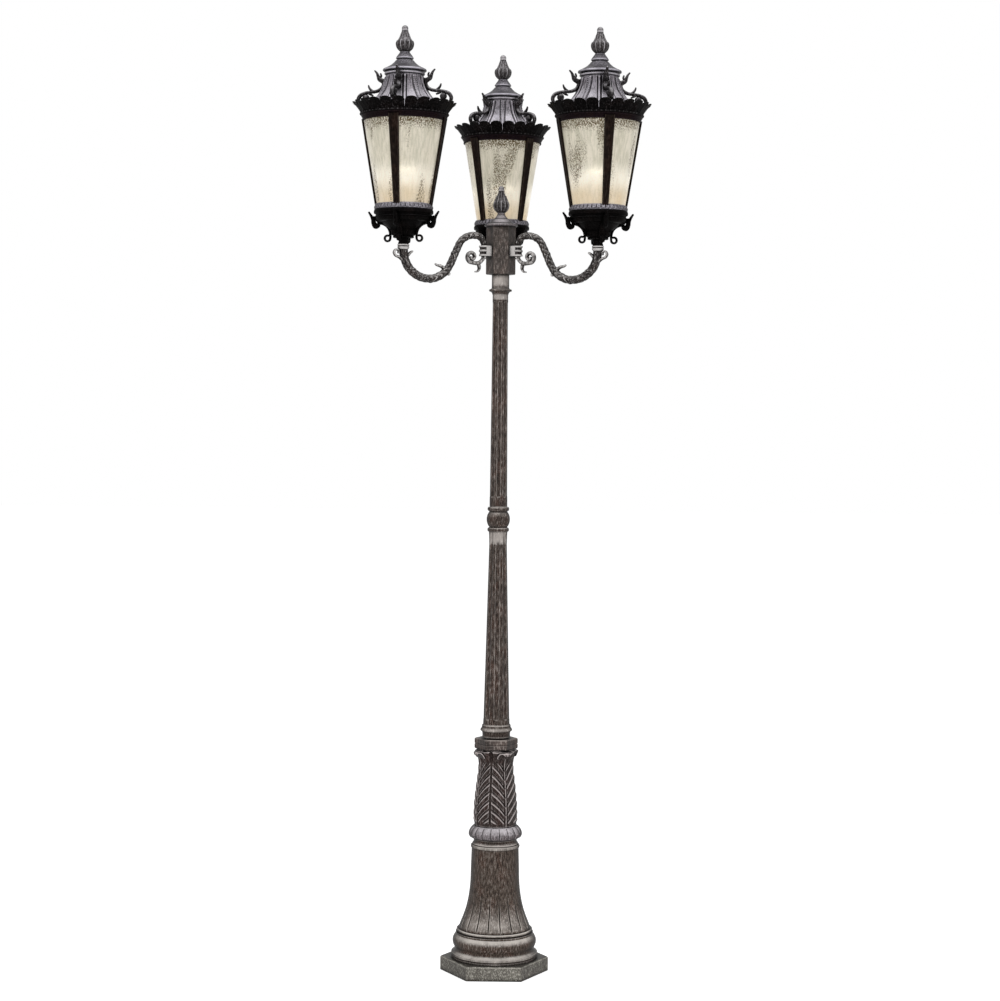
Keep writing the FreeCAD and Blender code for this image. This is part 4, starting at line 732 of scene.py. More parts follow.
def bud(name: str, foot: float, sizes: Sequence[float]) -> Piece:
    """A carved bud with a ringed neck and a ball on top.

    Args:
        name: the piece's name.
        foot: height of its foot.
        sizes: radius at the foot, radius and height of the widest place, radius and height of
            the neck, radius of the ball, and how far all heights are scaled.

    Returns:
        The piece.
    """
    foot_r, body_r, widest, neck_r, neck, ball_r, tall = sizes
    mid = widest + (neck - widest) * 0.55
    body = through([(foot_r, 0.0), (body_r * 0.9, widest * 0.5), (body_r, widest), (body_r * 0.62, mid),
                    (neck_r, neck)], 0.8)
    ring = [(neck_r + 1.6, neck + 0.8), (neck_r + 2.0, neck + 1.8), (neck_r + 1.6, neck + 2.8),
            (neck_r - 0.6, neck + 3.6)]
    reach = math.sqrt(ball_r**2 - (neck_r - 0.6) ** 2) * 0.92
    angles = np.linspace(-math.asin(min(1.0, reach / ball_r)), math.pi / 2, 12)[1:-1]
    centre = neck + 3.6 + reach * 0.55
    ball = [(ball_r * math.cos(a), centre + ball_r * math.sin(a)) for a in angles]
    outline = np.vstack([body, ring, ball]) * [1.0, tall]

    def carve(theta: np.ndarray, r: np.ndarray, z: np.ndarray) -> np.ndarray:
        """Tiers of overlapping leaves: the highest one at each place."""
        rise = z - foot
        total = np.zeros_like(theta + z)
        tiers = ((6, 0.0, -0.1, 0.55, 2.8), (6, 0.5, 0.08, 0.8, 2.2), (6, 0.0, 0.3, 1.02, 1.5),
                 (12, 0.5, 0.5, 1.1, 0.8))
        for count, first, low, high, height in tiers:
            t = (rise / neck - low) / (high - low)
            inside = (t > 0) & (t < 1)
            share = ((theta * count / TAU + first) % 1.0 - 0.5) * 2.0
            half = np.clip(1.0 - t, 0.02, 1.0) ** 0.5
            leaf = np.sqrt(np.clip(1.0 - (share / half) ** 2, 0.0, 1.0))
            rib = 0.35 * dip(share, 0.0, 0.12) - 0.25 * dip(np.abs(share), 0.45, 0.12)
            total = np.maximum(total, inside * height * (0.4 + 0.6 * np.clip(t, 0, 1)) * leaf * (0.8 + rib))
        return total * (rise < neck)

    return Piece(name).turned(outline + [0.0, foot + BUD_CLEAR * (tall < 1.0)], 192, carve, False)


# ---------------------------------------------------------------- post
@dataclass
class Post:
    """The stacked castings of the post, from the plate to the hub."""

    finishes: Finishes
    grooves: int = 18
    groove_depth: float = 2.4
    gadroons: int = 18
    leaf_count: int = 4
    leaf_azimuth: float = 30.0
    leaf_pitch: float = 23.0
    leaf_slope: float = 1.5
    leaf_half: float = 38.2
    flutes: int = 8
    flute_depth: float = 2.4
    flute_share: float = 0.30
    hub_bud: tuple[float, ...] = (9.0, 19.6, 20.0, 6.0, 56.0, 7.6, 1.0)

    def build(self) -> None:
        """Builds and dresses every piece of the post."""
        self.bell()
        self.urn()
        self.shaft("lower_shaft", LOWER_Z, [(34.6, 39.0), (23.5, 508.0), (24.4, 541.0)], (45.0, 514.0))
        self.shaft("upper_shaft", UPPER_Z, [(23.1, 5.0), (20.2, 553.0)], (24.0, 535.0))
        for node, finish in (("base_plate", "base"), ("mid_collar", "post"), ("top_neck", "post"), ("hub", "hub"),
                             ("hub_cap", "gadroon")):
            dress(node, self.finishes[f"{finish}_casting"])
        knob = bud("hub_bud", HUB_FINIAL_Z, self.hub_bud)
        knob.shown(self.finishes["bud_casting"], "hub_knob", "arm_casting", "hub_finial")

    def show(self, piece: Piece, finish: str, node: str, sharp: float = SHARP) -> None:
        """Puts a piece on the fixed body, in the post's paint."""
        piece.shown(self.finishes[finish], "root", "post_casting", node, None, sharp)

    def bell(self) -> None:
        """The bell casting: plinth, cove, torus, ring and the grooved flare."""
        outline = lifted(
            BELL_Z, [(PIPE_HOLE_R, 0.0), (113.0, 0.0), (113.0, 5.0), (111.6, 5.6), (111.6, 8.0), (113.0, 8.6),
                     (113.0, 13.8)],
            bow((113.0, 13.8), (104.0, 26.8), -3.0), bow((104.0, 26.8), (101.3, 62.2), 7.0, 14),
            [(101.3, 67.2), (97.6, 67.2), (97.6, 70.4), (99.2, 71.6), (99.2, 74.4), (97.2, 76.4), (93.8, 76.4)],
            through([(93.6, 79.0), (90.4, 88.0), (83.0, 106.6), (74.5, 132.7), (69.0, 158.8), (65.5, 185.0),
                     (63.2, 242.0), (61.8, 286.0)], 4.0),
            [(61.8, 288.0), (63.6, 289.6), (64.2, 292.6), (63.4, 295.8), (61.5, 297.2), (PIPE_HOLE_R, 297.2)])

        def grooved(theta: np.ndarray, r: np.ndarray, z: np.ndarray) -> np.ndarray:
            """Cuts the narrow grooves of the flare and sinks the strips between them a little."""
            rise = z - BELL_Z
            share = np.abs(((theta * self.grooves / TAU) % 1.0) - 0.5) * 2.0
            fade = ease(rise, 78.0, 84.0) * (1.0 - 0.85 * ease(rise, 105.0, 200.0)) * (rise < 286.0)
            return -fade * (self.groove_depth * dip(share, 1.0, 0.085) + 0.6 * share**2)

        self.show(Piece("bell").turned(outline, 432, grooved), "bell_casting", "base_bell")

    def urn_leaf(self, across: np.ndarray, z: np.ndarray) -> np.ndarray:
        """The carving of one of the urn's leaves.

        Args:
            across: distance from the leaf's midrib.
            z: heights above the urn's foot.

        Returns:
            How far the carving stands out.
        """
        share = ((z - 58.0 - self.leaf_slope * across + 0.011 * across**2) / self.leaf_pitch) % 1.0
        lobed = ease(z, 56.0, 68.0) * (1.0 - ease(z, 205.0, 224.0))
        reach = ease(self.leaf_half - across - 2.2 * np.abs(share - 0.6), 0.0, 2.6)
        barb = np.clip(1.0 - ((share - 0.52) / 0.46) ** 2, 0.0, 1.0) ** 0.6
        crest = dip(share, 0.74, 0.09) * ease(across, 3.0, 7.0)
        cut = dip(np.minimum(share, 1.0 - share), 0.0, 0.07)
        rib = dip(across, 0.0, 1.9) * (1.0 - ease(z, 222.0, 236.0))
        lobe = reach * (1.5 * barb + 1.7 * crest + 0.03 * across) - 1.1 * cut * reach - 0.8 * dip(across, 4.2, 1.5)
        return 1.4 + lobed * lobe + 1.7 * rib

    def urn(self) -> None:
        """The urn casting: neck, gadroon ring, carved leaves with curled tips, and the block."""
        neck = lifted(URN_Z, [(PIPE_HOLE_R, 0.0), (59.5, 0.0), (60.4, 2.0), (59.5, 4.0)],
                      bow((59.5, 4.0), (57.5, 15.5), -2.0), [(PIPE_HOLE_R, 15.5)])
        self.show(Piece("urn_neck").turned(neck, 128), "post_casting", "base_urn")
        ring = lifted(URN_Z, [(PIPE_HOLE_R, 15.4), (57.5, 15.4)],
                      through([(58.5, 16.2), (66.5, 20.5), (69.6, 28.5), (66.0, 38.5), (57.0, 49.5)], 1.6),
                      [(54.8, 50.4), (PIPE_HOLE_R, 50.4)])

        def swollen(theta: np.ndarray, r: np.ndarray, z: np.ndarray) -> np.ndarray:
            """Swells the ring into its lobes."""
            on = ease(z - URN_Z, 15.9, 20.0) * (1.0 - ease(z - URN_Z, 46.0, 50.0))
            return (3.0 * np.sqrt(lobes(theta, self.gadroons)) - 2.0) * on

        self.show(Piece("urn_gadroons").turned(ring, 432, swollen), "gadroon_casting", "base_urn")
        core = through([(53.6, 52.0), (53.8, 58.0), (53.2, 71.0), (51.0, 117.0), (47.2, 152.0), (44.2, 176.0),
                        (41.4, 198.0), (42.2, 212.0), (46.2, 228.0), (51.5, 240.0), (54.0, 246.5)], 1.4)
        outline = lifted(URN_Z, [(PIPE_HOLE_R, 50.4), (53.6, 50.4)], core,
                         [(52.0, 248.2), (48.5, 248.8), (48.0, 251.0), (PIPE_HOLE_R, 251.0)])

        def carve(theta: np.ndarray, r: np.ndarray, z: np.ndarray) -> np.ndarray:
            """Adds the leaves and parts their tips."""
            rise = z - URN_Z
            step = TAU / self.leaf_count
            side = np.abs((theta - math.radians(self.leaf_azimuth) + step / 2) % step - step / 2)
            share = side / (step / 2)
            parted = -7.0 * ease(share, 0.55, 1.0) ** 2 * ease(rise, 214.0, 240.0) * (rise < 247.5)
            fold = 0.8 * np.cos(7.0 * math.pi * share) * ease(rise, 206.0, 224.0) * (rise < 247.0)
            wall = (rise > 51.0) & (r > 49.0 - 9.0 * (rise < 236.0)) & (rise < 247.5)
            return (self.urn_leaf(side * 50.0, rise) + parted + fold) * wall

        urn = Piece("urn").turned(outline, 480, carve)
        tip, = bars(URN_Z, (1.2, [(47.0, 231.0, 2.6, 24.0), (51.8, 239.0, 2.8, 23.0), (56.4, 243.5, 2.6, 19.0),
                                  (59.6, 242.5, 2.3, 13.0), (60.2, 238.5, 2.0, 8.0)]))
        for i in range(self.leaf_count):
            urn.bar(tip, 36, 2.2, lambda angle, run, depth: 0.3 * np.cos(6.0 * angle), self.leaf_azimuth + 90.0 * i)
        rises = [(PIPE_HOLE_R, 251.0), (54.2, 251.0), (56.6, 253.4), (56.6, 262.4), (55.4, 263.6), (55.4, 265.0),
                 (56.6, 266.2), (56.6, 276.6), (54.2, 279.0), (PIPE_HOLE_R, 279.0)]
        hexagon = np.radians(60.0 * np.arange(6))
        rings = [[(r * math.cos(a), r * math.sin(a), URN_Z + rise) for a in hexagon] for r, rise in rises]
        self.show(Piece("urn_block").skin(np.array(rings), True), "hub_casting", "base_urn")
        self.show(urn, "urn_casting", "base_urn", URN_SHARP)

    def shaft(self, node: str, foot_z: float, taper: Sequence[tuple[float, float]], span: tuple[float, float]) -> None:
        """One fluted shaft.

        Args:
            node: the CAD node it stands for.
            foot_z: height of its foot.
            taper: radius and rise along the taper.
            span: rises between which the flutes run.
        """
        if node == "lower_shaft":
            foot = [bow((37.7, 0.0), (37.7, 18.0), -1.5, 6), bow((37.7, 18.0), (40.4, 25.0), 2.5, 6),
                    bow((40.4, 25.0), (37.7, 34.0), -1.2, 6), bow((37.7, 34.0), (34.6, 39.0), -0.8, 5)]
        else:
            foot = [bow((24.1, 0.0), (23.1, 5.0), -0.4, 4)]
        (low_r, low), (head_r, head) = taper[0], taper[1]
        ends = np.arange(-2.0, 14.0, 1.5)
        heights = np.unique(np.concatenate([np.linspace(low, head, 40), span[0] + ends, span[1] - ends]))
        heights = heights[(heights > low) & (heights < head)]
        side = np.stack([low_r + (head_r - low_r) * (heights - low) / (head - low), heights], -1)
        outline = lifted(foot_z, [(PIPE_HOLE_R, 0.0)], *foot, side, [*taper[1:], (PIPE_HOLE_R, taper[-1][1])])

        def fluted(theta: np.ndarray, r: np.ndarray, z: np.ndarray) -> np.ndarray:
            """Cuts round-ended flutes, one of them at the front."""
            rise = z - foot_z
            step = TAU / self.flutes
            across = ((theta - math.pi / 2 + step / 2) % step - step / 2) * r
            half = r * self.flute_share
            past = np.maximum(0.0, np.maximum(span[0] + half - rise, rise - span[1] + half))
            inside = half**2 - across**2 - past**2
            cut = half - self.flute_depth - np.sqrt(np.clip(inside, 0.0, None))
            return np.where((inside > 0) & (r > PIPE_HOLE_R + 1.0) & (rise > span[0]), np.minimum(cut, 0.0), 0.0)

        self.show(Piece(node + "_fluted").turned(outline, 192, fluted), "post_casting", node)


# ---------------------------------------------------------------- arms
@dataclass
class Arm:
    """One S-shaped arm with its collar, scroll and leaves."""

    side: Side
    finishes: Finishes
    collar_x: float = 50.0
    boss_x: float = 33.17
    crest: float = 44.0
    bowl: float = 72.5
    slope: float = 64.0
    bends: tuple[float, ...] = (70.5, 70.5, 46.0, 25.0)
    thick: tuple[float, float] = (11.6, 8.4)
    leaf_wide: float = 11.0
    spiral_wide: float = 13.0

    def centreline(self) -> np.ndarray:
        """The arm's curve: straight runs joined by arcs that touch them.

        Returns:
            Rows of x and z from the lantern's end to the collar.
        """
        low, crest = SEAT_Z - self.bowl, SEAT_Z + self.crest
        turn = math.radians(self.slope)
        foot = ARM_REACH - self.bends[0] * (1.0 + math.tan(turn / 2)) - 1.5
        head = foot - (crest - low) / math.tan(turn)
        corners = np.array([(ARM_REACH, CUP_Z - 4.0), (ARM_REACH, low), (foot, low), (head, crest),
                            (self.collar_x, crest), (self.collar_x, SEAT_Z - 7.5)])
        runs = np.linalg.norm(np.diff(corners, axis=0), axis=1)
        way = np.diff(corners, axis=0) / runs[:, None]
        half = np.arccos(np.clip((way[1:] * way[:-1]).sum(1), -1, 1)) / 2
        reach = np.array(self.bends) * np.tan(half)
        last = len(reach) - 1
        for i in range(last + 1):
            after = reach[min(i + 1, last)]
            room = runs[i + 1] if i < last else 2 * runs[i + 1]
            if reach[i] + after > room:
                reach[i:i + 2] *= 0.98 * room / (reach[i] + after)
            reach[i] = min(reach[i], 0.98 * runs[i])
        rows = [corners[:1]]
        for i, far in enumerate(reach):
            inward = way[i + 1] - way[i]
            inward /= np.linalg.norm(inward)
            centre = corners[i + 1] + inward * far / math.tan(half[i]) / math.cos(half[i])
            start, end = corners[i + 1] - way[i] * far - centre, corners[i + 1] + way[i + 1] * far - centre
            t = np.linspace(0, 1, 15)[:, None]
            spread = 2 * half[i]
            rows.append(centre + (np.sin((1 - t) * spread) * start + np.sin(t * spread) * end) / math.sin(spread))
        line = np.vstack([*rows, corners[-1:]])
        line = line[np.concatenate([[True], np.linalg.norm(np.diff(line, axis=0), axis=1) > 0.5])]
        run = np.concatenate([[0.0], np.cumsum(np.linalg.norm(np.diff(line, axis=0), axis=1))])
        even = np.linspace(0, run[-1], 420)
        return np.stack([np.interp(even, run, line[:, 0]), np.interp(even, run, line[:, 1])], -1)

    @staticmethod
    def carved(angle: np.ndarray, run: np.ndarray, depth: np.ndarray) -> np.ndarray:
        """Long leaves wrapped round the bar, with slanting veins."""
        veins = np.abs(np.sin(run / 4.6 + 3.0 * np.abs(np.cos(angle))))
        sheath = (run / 78.0 + 0.16 * np.cos(angle)) % 1.0
        lip, rib = dip(sheath, 0.93, 0.05), dip(np.abs(np.sin(angle)), 1.0, 0.05)
        return 1.5 * np.sqrt(veins) * (0.55 + 0.45 * (1 - sheath)) + 1.2 * lip + 0.6 * rib - 1.1

    @staticmethod
    def leaf(piece: Piece, axis_x: float, rows: Rows, wide: float) -> None:
        """Adds a curled leaf or bar in the arm's plane.

        Args:
            piece: what it is added to.
            axis_x: the upright axis its offsets start from.
            rows: offsets along x and z with the thickness there.
            wide: its width at the thickest place.
        """
        most = max(r[2] for r in rows)
        full = [(axis_x + x, SEAT_Z + z, t / 2, wide / 2 * (0.35 + 0.65 * t / most)) for x, z, t in rows]
        piece.bar(through(full, 1.2), 20, 2.3,
                  lambda a, run, d: 0.35 * np.abs(np.cos(2.0 * a)) * np.abs(np.sin(run / 3.4)))

    def build(self) -> None:
        """Builds the arm."""
        name = self.side.label
        arm = Piece(f"arm_{name}_carved")
        line = self.centreline()
        radius = self.thick[0] + (self.thick[1] - self.thick[0]) * np.linspace(0, 1, len(line))
        arm.bar(np.column_stack([line, radius, radius]), 48, 2.0, self.carved)
        low, high = SEAT_Z - 7.5, SEAT_Z + 19.0
        self.about(arm, self.collar_x, lifted(low, [
            (0.5, 0.0), (13.2, 0.0), (13.2, 4.0), (11.4, 5.0), (11.4, 8.4), (10.8, 9.0), (13.0, 11.0), (13.6, 13.2),
            (13.0, 15.4), (10.8, 17.4), (11.4, 18.0), (11.4, 21.5), (13.2, 22.5), (13.2, 26.5), (0.5, 26.5)]))
        self.about(arm, ARM_REACH, lifted(CUP_Z, [
            (0.5, -12.0), (12.4, -12.0), (14.8, -9.0), (15.2, -6.0), (13.4, -4.6), (15.0, -3.2), (15.0, 0.0),
            (0.5, 0.0)]))
        section = ((-12, low), (12, low), (13, low + 1.5), (13, high - 1.5), (12, high), (-12, high),
                   (-13, high - 1.5), (-13, low + 1.5))
        arm.skin(np.array([[(x, y, z) for y, z in section] for x in (self.boss_x, self.collar_x)]))
        self.leaf(arm, self.collar_x, self.spiral(), self.spiral_wide)
        for axis_x, rows in (
            (self.collar_x, [(20, -24, 6), (15, -33, 9), (14.5, -41, 7.5), (19, -47.5, 5), (26, -49, 3)]),
            (ARM_REACH, [(-131, -58, 9), (-117, -44.5, 9), (-106, -38.5, 7.5), (-97, -37, 5.5), (-92.5, -34.5, 4.4)]),
            (ARM_REACH, [(4, -28, 6), (13, -21, 6.5), (22, -18, 5.5), (26.5, -10, 5.5), (21.5, -3, 5),
                         (14.5, -4.5, 4.5), (14.5, -10.5, 4)]),
            (ARM_REACH, [(-5, -23, 7), (-13, -15, 8), (-20, -8.5, 6.5), (-25.5, -5.5, 4.5)]),
        ):
            self.leaf(arm, axis_x, rows, self.leaf_wide)
        arm.shown(self.finishes["arm_casting"], "root", "arm_casting", f"arm_{name}", self.side.place(0.0))

    @staticmethod
    def spiral() -> list[tuple[float, float, float]]:
        """The scroll under the collar, closing on a knob.

        Returns:
            Offsets from the collar's axis and the seat, with the thickness.
        """
        rows = [(0.5, -4.0, 8.0), (2.0, -12.0, 8.5), (8.0, -20.5, 9.0), (18.0, -26.5, 9.5)]
        for i in range(11):
            share = i / 10
            a = math.radians(255.0 + 420.0 * share)
            r = 15.5 + (4.2 - 15.5) * share
            rows.append((36.5 + r * math.cos(a), -11.0 + r * math.sin(a), 10.0 - 1.5 * share))
        return rows

    @staticmethod
    def about(piece: Piece, axis_x: float, outline: np.ndarray) -> None:
        """Turns an outline about an upright axis in the arm's plane.

        Args:
            piece: what it is added to.
            axis_x: where the axis stands.
            outline: rows of radius and height.
        """
        theta = np.linspace(0, TAU, 48, endpoint=False)[None, :]
        r, z = outline[:, :1], outline[:, 1:2]
        piece.skin(np.stack([axis_x + r * np.cos(theta), r * np.sin(theta), z + 0 * theta], -1))


# ---------------------------------------------------------------- lanterns
@dataclass
class Lantern:
    """One lantern, drawn about its own axis."""

    side: Side
    finishes: Finishes
    petals: int = 24
    petal_height: float = 32.0
    petal_scallop: float = 9.5
    petal_reach: float = 131.8
    glass_foot_r: float = 66.2
    glass_top_r: float = 102.3
    glass_height: float = 222.0
    glass_thick: float = 3.0
    rib_away: float = 30.0
    corner_azimuths: tuple[float, ...] = (45.0, 135.0, 225.0, 315.0)
    twists: dict[Side, float] = field(default_factory=lambda: {Side.LEFT: 3.0, Side.RIGHT: -3.0, Side.REAR: 0.0})
    bud_sizes: tuple[float, ...] = (9.6, 20.6, 20.0, 6.5, 53.0, 8.2, 0.993)

    def build(self) -> None:
        """Builds and dresses every piece of the lantern."""
        for part in (self.cup, self.brackets, self.cage, self.glass, self.crown, self.roof, self.vent, self.scrolls):
            part()
        knob = bud(f"finial_{self.side.label}_bud", FINIAL_Z, self.bud_sizes)
        self.show(knob, "bud_casting", "lantern_casting", "finial", "finial_knob")
        for node, finish in (("bridge", "steel_hardware"), ("nipple", "steel_hardware"), ("socket", "lampholder"),
                             ("bulb", "bulb_glass"), ("lead", "lead_insulation")):
            dress(f"{node}_{self.side.label}", self.finishes[finish])

    def show(self, piece: Piece, finish: str, slot: str, node: str, body: str = "root", sharp: float = SHARP) -> None:
        """Puts a piece on this lantern."""
        name = self.side.label
        carried = body if body == "root" else f"{body}_{name}"
        place = self.side.place(ARM_REACH, self.twists[self.side])
        piece.shown(self.finishes[finish], carried, slot, f"{node}_{name}" if node else "", place, sharp)

    def glass_r(self, rise: float | np.ndarray) -> float | np.ndarray:
        """The outer radius of the glass at a height above its foot."""
        return self.glass_foot_r + (self.glass_top_r - self.glass_foot_r) * rise / self.glass_height

    def cup(self) -> None:
        """The flaring cup with its leaf-carved side and leaf-tipped skirt."""
        sweep = np.radians(np.linspace(180.0, 90.0, 22))
        outline = lifted(
            CUP_Z, [(5.2, 0.0), (12.6, 0.0), (13.8, 2.0), (13.0, 5.0), (11.8, 8.0)],
            through([(11.8, 8.0), (14.2, 12.0), (15.4, 16.0), (21.5, 17.2), (25.2, 16.4)], 1.2)[1:],
            [(26.2, 18.0), (25.4, 21.0), (29.8, 24.0), (31.2, 24.6)],
            np.stack([63.5 + 32.3 * np.cos(sweep), 24.5 + 32.3 * np.sin(sweep)], -1),
            bow((63.5, 56.8), (70.0, 65.0), 1.5, 5),
            [(70.0, 67.5), (71.6, 68.0), (72.6, 69.5), (71.6, 71.0), (70.6, 71.4), (70.6, 73.4)],
            bow((70.6, 73.4), (75.0, 77.0), -0.8, 4), bow((75.0, 77.0), (74.5, 86.0), 0.8, 5),
            [(64.5, 86.0), (62.0, 62.0), (32.0, 34.0), (5.2, 30.0)])

        def leaves(theta: np.ndarray, r: np.ndarray, z: np.ndarray) -> np.ndarray:
            """Carves tall leaves on the side and their tips round the skirt."""
            rise = z - CUP_Z
            outer = (r > 11.0) & ~((rise > 29.9) & (rise < 34.1) & (r < 33.0))
            side = ease(rise, 20.0, 26.0) * (1.0 - ease(rise, 50.0, 58.0)) * outer
            tips = ease(rise, 14.0, 17.5) * (1.0 - ease(rise, 19.0, 24.0))
            return 1.6 * (np.sqrt(lobes(theta, 16)) - 0.7) * side + 2.2 * (lobes(theta, 12, 0.5) - 0.6) * tips

        cup = Piece(f"cup_{self.side.label}_carved").turned(outline, 144, leaves)
        self.show(cup, "cup_casting", "lantern_casting", "cup")

    def brackets(self) -> None:
        """Four straps that hug the cup, each with a curl below and a horn above."""
        piece = Piece(f"brackets_{self.side.label}_curled")
        centre_z, radius, curl_r = CUP_Z + 24.5, 29.0, 7.2
        foot_x = 63.5 - radius
        hug = [(63.5 + radius * math.cos(a), centre_z + radius * math.sin(a), 2.7, 6.2)
               for a in np.radians(np.arange(180.0, 95.0, -14.0))]
        curl = [(foot_x + curl_r + curl_r * math.cos(a), centre_z - 9.0 + curl_r * math.sin(a), 2.4, 5.6)
                for a in np.radians(np.arange(180.0, 475.0, 32.0))]
        strap = through(curl[::-1] + [(foot_x - 0.3, centre_z - 4.0, 2.6, 6.0)] + hug, 1.5)
        horn, leaf, stalk = bars(
            CUP_Z,
            (1.4, [(66.0, 56.5, 3.2, 6.2), (67.0, 47.5, 5.2, 6.4), (73.0, 46.6, 6.6, 6.4), (78.0, 53.5, 6.0, 6.0),
                   (80.5, 63.0, 4.6, 5.2), (85.0, 72.5, 3.2, 4.2), (91.0, 81.5, 2.2, 3.2)]),
            (1.4, [(73.0, 52.0, 3.0, 5.4), (77.0, 62.0, 2.6, 5.0), (78.2, 71.0, 1.6, 3.6)]),
            (1.5, [(66.0, 58.0, 3.0, 6.0), (70.5, 62.5, 3.4, 6.0), (74.0, 70.0, 2.4, 5.0)]))

        def veins(angle: np.ndarray, run: np.ndarray, depth: np.ndarray) -> np.ndarray:
            """A raised line along the strap's middle and edges."""
            return 0.45 * np.cos(4.0 * angle)

        for azimuth in self.corner_azimuths:
            piece.bar(strap, 20, 3.2, veins, azimuth)
            piece.bar(horn, 20, 2.4, veins, azimuth)
            piece.bar(leaf, 16, 2.2, None, azimuth)
            piece.bar(stalk, 16, 2.6, None, azimuth)
        self.show(piece, "cup_casting", "lantern_casting", "cup_brackets")

    def cage(self) -> None:
        """The lantern frame: light ring with its carved slope, four ribs and the top ring."""
        name = self.side.label
        outline = lifted(FRAME_Z, [(5.2, 0.0), (71.5, 0.0)], bow((71.5, 0.0), (74.4, 4.0), 0.8, 4),
                         bow((74.4, 4.0), (71.2, 13.0), 1.0, 7),
                         [(69.6, 15.0), (69.2, 15.0), (69.2, 4.0), (5.2, 4.0)])

        def leafy(theta: np.ndarray, r: np.ndarray, z: np.ndarray) -> np.ndarray:
            """Small leaves along the slope of the ring."""
            rise = z - FRAME_Z
            on = ease(rise, 3.5, 6.0) * (1.0 - ease(rise, 12.5, 14.5)) * (r > 69.5)
            return on * (1.5 * np.sqrt(lobes(theta, 40)) - 0.9)

        ring = Piece(f"light_ring_{name}").turned(outline, 320, leafy).beads(80, 70.6, FRAME_Z + 13.4, 1.5)
        self.show(ring, "silver_casting", "lantern_casting", "frame")
        band = lifted(FRAME_TOP_Z, [(102.9, -15.0), (104.8, -15.0), (106.0, -13.6), (106.0, -11.4), (105.4, -10.6),
                                    (107.6, -4.6), (108.6, -4.0), (109.4, -2.4), (109.0, 0.0), (102.9, 0.0)])

        def wavy(theta: np.ndarray, r: np.ndarray, z: np.ndarray) -> np.ndarray:
            """A soft wave round the lower edge."""
            return 0.7 * (lobes(theta, 48) - 0.5) * (1.0 - ease(z - FRAME_TOP_Z, -13.0, -9.0)) * (r > 103.0)

        self.show(Piece(f"top_ring_{name}").turned(band, 288, wavy), "band_casting", "lantern_casting", "")
        ribs = Piece(f"ribs_{name}")
        low, high = FRAME_Z + 4.0, FRAME_TOP_Z - 7.5
        for azimuth in self.corner_azimuths:
            c, s = math.cos(math.radians(azimuth)), math.sin(math.radians(azimuth))
            rings = []
            for share in np.linspace(0, 1, 9):
                z = low + (high - low) * share
                inner = self.glass_r(z - GLASS_Z) + 0.5
                half = 7.6 + 5.6 * share
                edge = [(4.6, half), (5.8, half - 1.2), (5.8, half - 2.8), (5.0, half - 3.8)]
                section = [(0.0, -half), *[(x, -y) for x, y in edge], *edge[::-1], (0.0, half)]
                rings.append([((inner + x) * c - y * s, (inner + x) * s + y * c, z) for x, y in section])
            ribs.skin(np.array(rings))
        self.show(ribs, "rib_casting", "lantern_casting", "")

    def glass(self) -> None:
        """The conical glass, drawn a little uneven."""
        rises = np.linspace(0.0, self.glass_height, 31)
        outer = np.stack([self.glass_r(rises), rises], -1)
        outline = lifted(GLASS_Z, outer, (outer - [self.glass_thick, 0.0])[::-1])

        def uneven(theta: np.ndarray, r: np.ndarray, z: np.ndarray) -> np.ndarray:
            """Slow waves in the drawn glass."""
            return 0.18 * np.sin(7.0 * theta + 0.02 * z) * np.sin(0.03 * z + 2.0 * theta)

        piece = Piece(f"glass_{self.side.label}_drawn").turned(outline, 120, uneven)
        self.show(piece, "seeded_glass", "seeded_glass", "glass")

    def petal(self, azimuth: float) -> np.ndarray:
        """One petal of the crown: a hollowed tongue with a raised rim and a flared round tip.

        Args:
            azimuth: where its middle points, in radians.

        Returns:
            Its rings of points.
        """
        up = np.linspace(0.0, 1.0, 15)[:, None]
        cross = np.linspace(-1.0, 1.0, 13)
        u = np.concatenate([cross, cross[::-1]])[None, :]
        outer = np.concatenate([np.ones(13), np.zeros(13)])[None, :]
        tip = 1.0 - np.sqrt(np.clip(1.0 - (0.985 * u) ** 2, 0.0, 1.0))
        rise = 3.0 + up * (self.petal_height - 3.0 - self.petal_scallop * tip)
        radius = np.interp(rise, [4.0, 11.0, 19.0, 26.0, 32.0], [108.6, 112.6, 118.4, 124.2, 129.4])
        edge = np.maximum(np.abs(u) ** 3.0, ease(up + 0.12 * tip, 0.72, 1.0))
        hollow = -2.4 * (1.0 - edge) * ease(up, 0.02, 0.2)
        flare = 1.2 * ease(up, 0.86, 1.0)
        crest = 0.7 * dip(u, 0.0, 0.16) * (1.0 - ease(up, 0.6, 0.9))
        radius = radius + 2.6 * (1.0 - np.abs(u) ** 2) + (hollow + crest) * outer + flare - 3.4 * (1.0 - outer)
        radius = np.minimum(radius, self.petal_reach)
        angle = azimuth + u * (math.pi / self.petals) * 0.975
        return np.stack([radius * np.cos(angle), radius * np.sin(angle), FRAME_TOP_Z + rise + 0 * angle], -1)

    def crown(self) -> None:
        """The crown of petals on its beaded flange."""
        crown = Piece(f"crown_{self.side.label}_petals")
        for i in range(self.petals):
            crown.skin(self.petal(TAU * (i + 0.5) / self.petals))
        flange = [(100.0, 0.0), (109.5, 0.0), (111.6, 1.0), (112.2, 2.8), (111.2, 4.8), (109.6, 6.2), (107.6, 6.6),
                  (106.0, 4.0), (100.0, 4.0)]
        crown.turned(lifted(FRAME_TOP_Z, flange), 144)
        crown.beads(60, 111.0, FRAME_TOP_Z + 2.8, 2.3)
        self.show(crown, "petal_casting", "lantern_casting", "crown", "lantern_roof", PETAL_SHARP)

